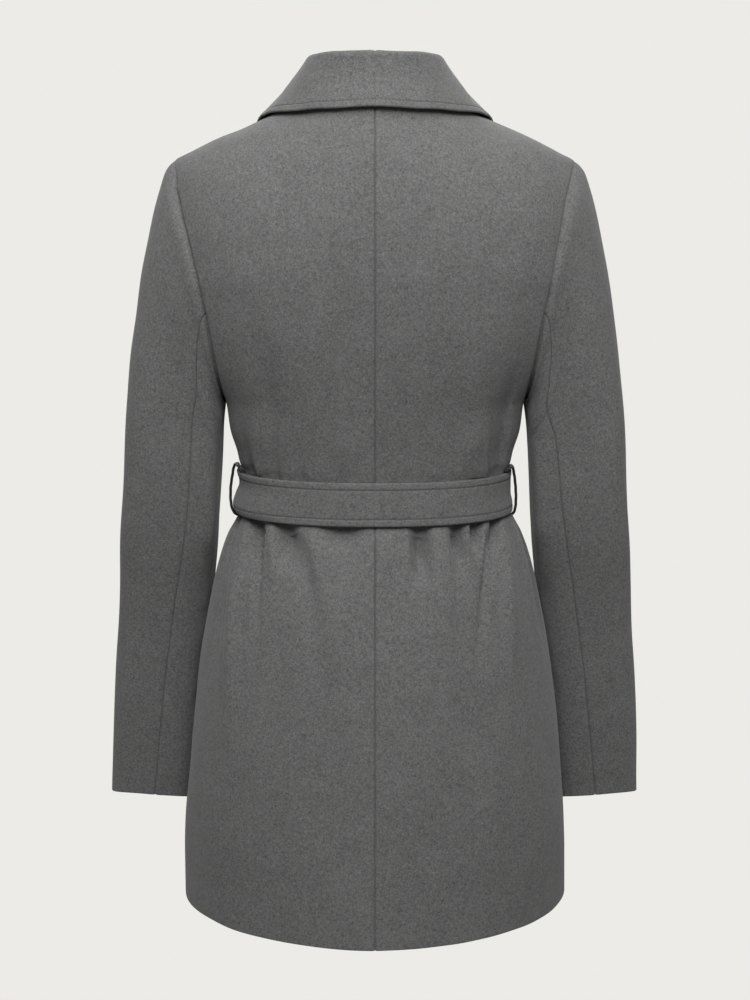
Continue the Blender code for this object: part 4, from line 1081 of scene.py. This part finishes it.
def sew(name, line, normals):
    """A row of stitches along a line on the cloth."""
    along = run(line, 0)
    count = int(along[-1] // STITCH_PITCH)
    middles = (np.arange(count) + 0.5) * along[-1] / count
    spots, up = between(middles, along, line), unit(between(middles, along, normals))
    ahead = between(middles + STITCH_AIM, along, line) - between(middles - STITCH_AIM, along, line)
    ahead = unit(ahead - np.sum(ahead * up, axis=-1, keepdims=True) * up)
    axes = np.stack([ahead, np.cross(up, ahead), up], axis=1)
    rise = (0.5 - STITCH_SUNK) * STITCH_WIDTH
    shape = stitch_form()
    faces = [[v + i * len(shape) for v in face]
             for i in range(count) for face in tube_faces(STITCH_ALONG, STITCH_AROUND)]
    vertices = (spots + rise * up)[:, None] + shape @ axes
    place_piece(make_mesh(name, vertices, faces, "thread", sharp=80.0), "wool")


def sew_beside(name, outer, normals, away, short=0.0):
    """Stitches beside an edge that is `away` from each point, ending `short` of the last row."""
    line, line_n = line_at(outer, away, TOPSTITCH_IN), line_at(normals, away, TOPSTITCH_IN)
    along = run(line, 0)
    kept = along <= along[-1] - short
    sew(name, line[kept], line_n[kept])


# ----------------------------------------------------- panels, sleeves, collar

def lapped(grid, first_row=False, last_row=False, first=False, last=False):
    """End a piece a hair past its seam lines."""
    grid = grid.copy()
    for wanted, edge, inside in (
            (first_row, np.s_[0], np.s_[1]), (last_row, np.s_[-1], np.s_[-2]),
            (first, np.s_[:, 0], np.s_[:, 1]), (last, np.s_[:, -1], np.s_[:, -2])):
        if wanted:
            grid[edge] += PIECE_LAP * unit(grid[edge] - grid[inside])
    return grid


def hem_wall(up):
    """Wall of a piece by the distance above its hem, thicker where that is turned up inside."""
    return CLOTH + (HEM_CLOTH - CLOTH) * (1 - ease(HEM_ALLOWANCE, HEM_ALLOWANCE + HEM_STEP, up))


def armhole_dip(word, face, z, away, reach_column):
    """Depth of the armhole seam's valley, by height and by distance from it."""
    rows = ARMHOLE_DIPS[word if face == "back" else "front"]
    return seam_dip(away, read(rows, "depth", z), read(rows, reach_column, z))


def panel_dip(side, word, face, surface):
    """How far creases, seams and unevenness press one panel in."""
    x, z = surface[..., 0], surface[..., 2]
    across, to_side = run(surface, 1), from_end(surface, 1)
    girth = side * across if face == "back" else side * across + x[:, :1]
    dip = creases(CREASES[face], girth, z) * ease(0.0, CREASE_FADE, to_side) + unevenness(surface)
    under_belt = np.abs(z - BELT_MIDDLE) < 0.5 * BELT_HEIGHT + HELD_PAST_BELT
    dip = np.where(under_belt, np.maximum(dip, HELD_BY_BELT), dip)
    row = np.arange(len(surface))[:, None]
    at_armhole = armhole_dip(word, face, z[:, -1:], to_side, "body_reach")
    dip = dip + np.where(row > UNDERARM_ROW, at_armhole, seam_dip(to_side))
    shoulder = seam_dip(from_end(surface, 0)) * ease(0.0, SHOULDER_FADE, to_side)
    if face == "back":
        return dip + seam_dip(across, *CENTRE_SEAM) + shoulder * (BACK_STOPS >= NECK_SHARE)
    stitched = 1 - ease(LAPEL_ROW - LAPEL_ROWS, LAPEL_ROW, row)
    return dip + shoulder + stitched * topstitch(across)


def shared_normals(back, front):
    """Normals of both panels, made one along the seams that they share."""
    back_n = grid_normals(back, outward_from_axis(back))
    front_n = grid_normals(front, outward_from_axis(front))
    back_n[:, 0] = unit(back_n[:, 0] * (0.0, 1.0, 1.0))
    back_n[-1, NECK_COLUMN:] = shoulder_normals(back[-1, NECK_COLUMN:, 0])
    front_n[-1] = shoulder_normals(front[-1, :, 0])
    seam = slice(UNDERARM_ROW + 1)
    back_n[seam, -1] = front_n[seam, -1] = unit(back_n[seam, -1] + front_n[seam, -1])
    return back_n, front_n


def join_at_armhole(back_n, front_n, sleeve_n):
    """Give the panels and the sleeve the same normals along the armhole."""
    shared = unit(unit(armhole_loop(back_n, front_n)) + sleeve_n[0])
    shared[0] = shared[-1] = unit(shared[0] + shared[-1])
    sleeve_n[0] = shared
    place = ROW_PLACE[UNDERARM_ROW:] - FIRST_PLACE
    for normals, at in ((back_n, place), (front_n, 2 * SHOULDER_PLACE - place)):
        normals[UNDERARM_ROW:, -1] = unit(between(at, AROUND, shared))


def make_panels(side, word):
    """The back, the front and the sleeve of one side; returns what its collar needs."""
    back, front = back_panel(side), front_panel(side)
    back_n, front_n = shared_normals(back, front)
    sleeve = sleeve_grid(side, word, armhole_loop(back, front))
    sleeve_n = sleeve_normals(sleeve)
    join_at_armhole(back_n, front_n, sleeve_n)
    up = run(back, 0)
    wall(f"back_{word}", lapped(back, last_row=True, first=True, last=True), back_n, up,
         hem_wall(up), panel_dip(side, word, "back", back))
    up, free = run(front, 0), run(front, 1)
    free[LAPEL_ROW:] = np.inf         # from here up the collar is sewn on
    outer = wall(f"front_{word}", lapped(front, last_row=True, last=True), front_n,
                 np.minimum(up, free), hem_wall(up), panel_dip(side, word, "front", front))
    stitched = outer[FRONT_STITCHED]
    sew_beside(f"stitches_front_{word}", stitched, front_n[FRONT_STITCHED], run(stitched, 1))
    make_sleeve(word, sleeve, sleeve_n)
    return back, back_n, front, front_n


def make_sleeve(word, sleeve, normals):
    """The upper and the under sleeve, from one whole sleeve."""
    joints = [nearest(AROUND, joint) for joint in SLEEVE_JOINTS]
    down, free = run(sleeve, 0), from_end(sleeve, 0)
    angle = sleeve_angles(word)
    behind, in_front = (armhole_dip(word, face, sleeve[0, :, 2], down, "sleeve_reach")
                        for face in ("back", "front"))
    lean = BESIDE_SKIRT_DIP * hump(angle - BESIDE_SKIRT_ANGLE, BESIDE_SKIRT_REACH)
    shared = (np.where(AROUND <= SHOULDER_PLACE, behind, in_front) + unevenness(sleeve)
              + sleeve_creases(word, angle) + lean * within(BESIDE_SKIRT, ORDERS)[:, None])
    every = np.arange(len(AROUND))
    under = np.concatenate([every[joints[3]:joints[4]], every[:joints[1] + 1]])
    for part, columns in (("upper", every[joints[1]:joints[3] + 1]), ("under", under)):
        surface = sleeve[:, columns]
        to_seam = np.minimum(run(surface, 1), from_end(surface, 1))
        dip = shared[:, columns] + seam_dip(to_seam, *SLEEVE_SEAM)
        drawn = lapped(surface, first_row=True, first=True, last=True)
        wall(f"sleeve_{word}_{part}", drawn, normals[:, columns], free[:, columns],
             hem_wall(free[:, columns]), dip)


def make_collar(side, word, back, back_n, front, front_n):
    """From the centre back round the neck and down the front's roll line."""
    neck, fold = slice(NECK_COLUMN + 1), slice(LAPEL_ROW, -1)
    seam = np.concatenate([back[-1, neck], front[fold, 0][::-1]])
    seam_n = np.concatenate([back_n[-1, neck], front_n[fold, 0][::-1]])
    opening = np.concatenate([unit(back[-1, neck] - back[-3, neck]),
                              unit(front[fold, 0] - front[fold, 2])[::-1]])
    middle = collar_grid(side, seam, seam_n, opening, skin_of(back, front))
    middle[0, :, 0] = 0.0
    outward = np.zeros_like(middle)
    outward[:, -COLLAR_OUT_ROWS:] = outward_from_axis(middle[:, -COLLAR_OUT_ROWS:])
    normals = grid_normals(middle, outward)
    normals[:, 0] = -seam_n
    normals[0] = unit(normals[0] * (0.0, 1.0, 1.0))
    to_edge = from_end(middle, 1)
    fall = ease(*COLLAR_FALL, np.linspace(0, 1, middle.shape[1]))
    dip = (topstitch(to_edge, COLLAR_GROOVE) * fall + seam_dip(run(middle, 0), *COLLAR_SEAM)
           + COLLAR_UNEVEN * unevenness(middle))
    drawn = lapped(middle + 0.5 * CLOTH * normals, first_row=True)
    outer = wall(f"collar_{word}", drawn, normals, np.minimum(to_edge, from_end(middle, 0)), dip=dip)
    sew_beside(f"stitches_collar_{word}", outer, normals, to_edge)


# ----------------------------------------------------------------------- belt

BELT_PLACES = 420
# Rows from an edge of the band to its middle, closer at the edge and the stitch line.
BELT_ROWS = (0.0, 0.25, 0.6, 1.0, 1.5, 2.3, 3.5, 4.8, 5.9, 6.5, 7.0, 7.5, 8.1, 9.4, 12.0, 15.5,
             18.5, 21.0)
BELT_WAVES = [(0.1225, 3, 0.6), (0.098, 7, 2.0), (0.063, 12, 4.4)]    # size, count, start
BELT_SLANT = 0.05         # the waves lean by this many radians in each mm of height
BELT_SIDE = (0.5, 1.0)    # shares of the way to the side seam where the band is lifted there


def belt_base(angle, z, off):
    """The waist ring moved out; angle runs once round from the centre back."""
    turn = (angle + 180.0) % 360.0 - 180.0
    behind = np.abs(turn) <= 90.0
    turn = np.where(behind, turn, np.sign(turn) * (180.0 - np.abs(turn)))
    halves = []
    for face in FACES:
        x, y, out_x, out_y = ring_outline(face, turn, BELT_MIDDLE)
        share = x / ring_side(BELT_MIDDLE)
        lift = (off + read(BELT, "left", z) * ease(*BELT_SIDE, share)
                + read(BELT, "right", z) * ease(*BELT_SIDE, -share))
        if face == "front":
            lift = lift + overlap_lift(np.abs(x), BELT_MIDDLE)
        halves.append(points(x + lift * out_x, y + lift * out_y, z))
    return np.where(behind[..., None], *halves)


def make_belt():
    """The band round the waist; returns its outer face."""
    height = np.array([*BELT_ROWS, *(BELT_HEIGHT - row for row in BELT_ROWS[-2::-1])])[:, None]
    z = BELT_BOTTOM + height
    angle = np.arange(BELT_PLACES)[None, :] * 360.0 / BELT_PLACES
    off = read(BELT, "off", z)
    wave = sum(size * np.sin(np.radians(count * angle) + start + BELT_SLANT * height)
               for size, count, start in BELT_WAVES)
    surface = belt_base(angle, z, off + BELT_CLOTH)
    normals = closed_normals(surface, outward_from_axis(surface))
    to_edge = np.minimum(height, BELT_HEIGHT - height)
    drawn = round_off(to_edge, BELT_CLOTH)
    outer = surface - (topstitch(to_edge) + wave + drawn)[..., None] * normals
    shell("belt_band", outer, belt_base(angle, z, off + drawn), closed=True)
    for word, at in (("low", TOPSTITCH_IN), ("high", BELT_HEIGHT - TOPSTITCH_IN)):
        row = nearest(height[:, 0], at)
        sew(f"stitches_belt_band_{word}", wrap(outer)[row], wrap(normals)[row])
    return outer


KNOT_TURNS, KNOT_RISES = 96, 60
KNOT_FACE = (-0.1, 0.5)   # the folds show where the knot faces forward by this much
# Folds of the knot, drawn on its face from the front: where the last turn of
# the belt crosses over the others.
KNOT_CREASES = [    # x, z, to_x, to_z, bow, depth, right, left, peak
    (-24, 9, 24, 15, 2.5, 2.3, 2.2, 3.4, 0.5),
    (-24, -13, 24, -9, -2.5, 2.4, 3.4, 2.2, 0.5),
    (-15, -30, -9, 28, 2.0, 1.3, 2.4, 2.0, 0.5),
    (14, -30, 17, 26, -2.0, 1.2, 2.0, 2.4, 0.5),
    (-3, -12, 5, 14, 1.0, 0.8, 2.6, 2.6, 0.5),
]
FOLD_RUN_OUT = 0.02       # of a fold's length, past both of its ends


def open_ends(peak):
    """A fold of the knot is deep nearly from end to end."""
    return -FOLD_RUN_OUT, 0.5 * peak, 1 - 0.5 * peak, 1 + FOLD_RUN_OUT


def squared(swing):
    """A sine or cosine pushed outwards, so that it draws a rounded square."""
    return np.sign(swing) * np.abs(swing) ** (2 / KNOT_POWER)


def make_knot(band_face):
    """The tied cloth in front of the band, whose face is at y = band_face."""
    width, depth, height = KNOT_SIZE
    turns = np.arange(KNOT_TURNS) * 2 * np.pi / KNOT_TURNS
    rises = np.linspace(-np.pi / 2, np.pi / 2, KNOT_RISES + 2)[1:-1, None]
    swell = squared(np.cos(rises))
    grid = 0.5 * points(width * swell * squared(np.cos(turns)),
                        depth * swell * squared(np.sin(turns)), height * squared(np.sin(rises)))
    normals = closed_normals(grid, grid)
    pressed = creases(KNOT_CREASES, grid[..., 0], grid[..., 2], open_ends)
    pressed = pressed * ease(*KNOT_FACE, -normals[..., 1])
    grid = grid - pressed[..., None] * normals
    grid = grid + (0.0, band_face - KNOT_CLEAR - 0.5 * depth, BELT_MIDDLE)
    faces = tube_faces(KNOT_RISES, KNOT_TURNS)
    place_piece(make_mesh("wool_belt_knot", grid, faces, "wool"), "wool", "belt_knot")


BELT_END_ROWS, BELT_END_COLUMNS = 90, 40
PUCKER_DEPTH, PUCKERS, PUCKER_SHARE = 1.3, 3.5, 0.2       # the knot gathers the ends' tops
PUCKER_FLAT = 0.7         # and pulls their stitch lines flat by this share


def make_belt_end(name):
    """A hanging end of the belt, lying on the right front, stitched round its edge."""
    shape = BELT_ENDS[name]
    top, foot = shape["z"][-1], shape["z"][0]
    z = closer(np.linspace(foot, top, BELT_END_ROWS), foot, before=False)[::-1, None]
    share = closer_ends(np.linspace(0.0, 1.0, BELT_END_COLUMNS), 2 * shape["half_width"].max())
    across = 2 * share[None, :] - 1
    x = read(shape, "middle", z) + read(shape, "half_width", z) * across
    lift = overlap_lift(-x, z) + read(shape, "off", z)
    under = ring_points("front", ring_angle("front", x, z), z, lift)
    normals = grid_normals(under, outward_from_axis(under))
    surface = under + BELT_CLOTH * normals
    to_side = np.minimum(run(surface, 1), from_end(surface, 1))
    free = np.minimum(to_side, from_end(surface, 0))
    near_knot = 1 - ease(0.0, PUCKER_SHARE * (top - foot), run(surface, 0))
    gathered = PUCKER_DEPTH * near_knot * np.cos(PUCKERS * np.pi * across)
    dip = topstitch(free) * (1 - PUCKER_FLAT * near_knot) + gathered
    outer = wall(name, surface, normals, free, BELT_CLOTH, dip)
    half = outer.shape[1] // 2
    for word, columns in (("a", slice(half)), ("b", slice(half, None))):
        part = (BELT_END_STITCHED, columns)
        sew_beside(f"stitches_{name}_{word}", outer[part], normals[part], to_side[part], TOPSTITCH_IN)
    row = nearest(from_end(outer, 0)[:, half], TOPSTITCH_IN)
    inside = to_side[row] >= TOPSTITCH_IN
    sew(f"stitches_{name}_foot", outer[row, inside], normals[row, inside])


CARRIER_PLACES, CARRIER_AROUND = 70, 16
BRAID_DEPTH, BRAID_STRANDS, BRAID_TWIST = 0.07, 3, 55.0


def make_carrier(side, word):
    """A thin braided loop that stands off the side seam, with the belt inside it."""
    at = np.linspace(0, 1, CARRIER_PLACES)
    places = np.linspace(0, 1, len(CARRIERS[word]))
    route = table("t x y z", [(t, *spot) for t, spot in zip(places, CARRIERS[word])])
    line = points(side * read(route, "x", at), read(route, "y", at), read(route, "z", at))
    ahead = unit(np.gradient(line, axis=0))
    off = unit(np.cross(ahead, (0.0, 1.0, 0.0)))
    aside = unit(np.cross(off, ahead))
    turn = np.arange(CARRIER_AROUND)[:, None] * 2 * np.pi / CARRIER_AROUND
    braid = 0.5 * (1 + BRAID_DEPTH * np.cos(BRAID_STRANDS * turn + BRAID_TWIST * at[:, None, None]))
    grid = line[:, None] + braid * (CARRIER_WIDTH * np.sin(turn) * aside[:, None]
                                    + CARRIER_CLOTH * np.cos(turn) * off[:, None])
    faces = tube_faces(CARRIER_PLACES, CARRIER_AROUND)
    piece = make_mesh(f"thread_carrier_{word}", grid, faces, "carrier")
    place_piece(piece, "carrier_thread", f"carrier_{word}")


# --------------------------------------------------- stage, light and camera

BACKDROP_COLOUR = (0.838, 0.831, 0.799)
FLOOR_Z = -1.45
ROOM_RADIUS, ROOM_HEIGHT, COVE_RADIUS = 4.2, 3.4, 1.0
ROOM_SIDES, COVE_STEPS = 96, 16


def make_room():
    """A round pale floor that curves up into a wall, open above (sizes in metres)."""
    cove = np.radians(np.linspace(0, 90, COVE_STEPS))
    radius = [*(ROOM_RADIUS - COVE_RADIUS * (1 - np.sin(cove))), ROOM_RADIUS]
    z = [*(FLOOR_Z + COVE_RADIUS * (1 - np.cos(cove))), FLOOR_Z + ROOM_HEIGHT]
    turn = np.arange(ROOM_SIDES) * 2 * np.pi / ROOM_SIDES
    radius, z = np.array(radius)[:, None], np.array(z)[:, None]
    grid = points(radius * np.cos(turn), radius * np.sin(turn), z)
    room = make_mesh("room", grid / MM, tube_faces(*grid.shape[:2])[:-1], "paper")
    room.visible_diffuse = room.visible_glossy = room.visible_shadow = False


LOOK_AT = Vector((0.0, 0.0, -0.39))
CAMERA_DISTANCE, CAMERA_RISE = 1.8, 10.0
CAMERA_LENS, CAMERA_FILM = 64.8, 36.0

# Soft lights: where they stand, what they light, their size and their power.
LIGHTS = {
    "key": ((0.0, 2.2, 1.5), (0.0, 0.05, -0.3), 1.6, 75.0),
    "over": ((0.0, 0.45, 1.2), (0.0, 0.0, -0.3), 1.0, 12.0),
    "front": ((0.0, -2.3, 1.5), (0.0, 0.0, -0.3), 1.8, 40.0),
}
WORLD_COLOUR = (1.0, 0.995, 0.985)
WORLD_STRENGTH = 0.30


def aim(thing, spot, target):
    thing.location = spot
    thing.rotation_euler = (Vector(target) - Vector(spot)).to_track_quat("-Z", "Y").to_euler()


def make_lights():
    for name, (spot, target, size, power) in LIGHTS.items():
        data = bpy.data.lights.new(name, "AREA")
        data.shape, data.size, data.energy = "DISK", size, power
        aim(link(name, data), spot, target)
    world = bpy.data.worlds.new("studio")
    bpy.context.scene.world = world
    world.use_nodes = True
    sky = world.node_tree.nodes["Background"]
    sky.inputs["Color"].default_value = (*WORLD_COLOUR, 1.0)
    sky.inputs["Strength"].default_value = WORLD_STRENGTH


def make_camera():
    data = bpy.data.cameras.new("camera")
    data.lens, data.sensor_width = CAMERA_LENS, CAMERA_FILM
    camera = link("camera", data)
    rise = np.radians(CAMERA_RISE)
    aim(camera, LOOK_AT + CAMERA_DISTANCE * Vector((0.0, np.cos(rise), np.sin(rise))), LOOK_AT)
    bpy.context.scene.camera = camera


# ----------------------------------------------------------------- the scene


def build():
    bpy.context.scene.view_settings.view_transform = "Standard"
    make_camera()
    make_lights()
    FINISHES.update(wool=wool(), thread=thread("wool_thread", 0.07),
                    carrier=thread("carrier_thread", 0.012), paper=paper())
    make_room()
    for side, word in ((1, "left"), (-1, "right")):
        make_collar(side, word, *make_panels(side, word))
        make_carrier(side, word)
    make_knot(make_belt()[..., 1].min())
    for name in BELT_ENDS:
        make_belt_end(name)


build()
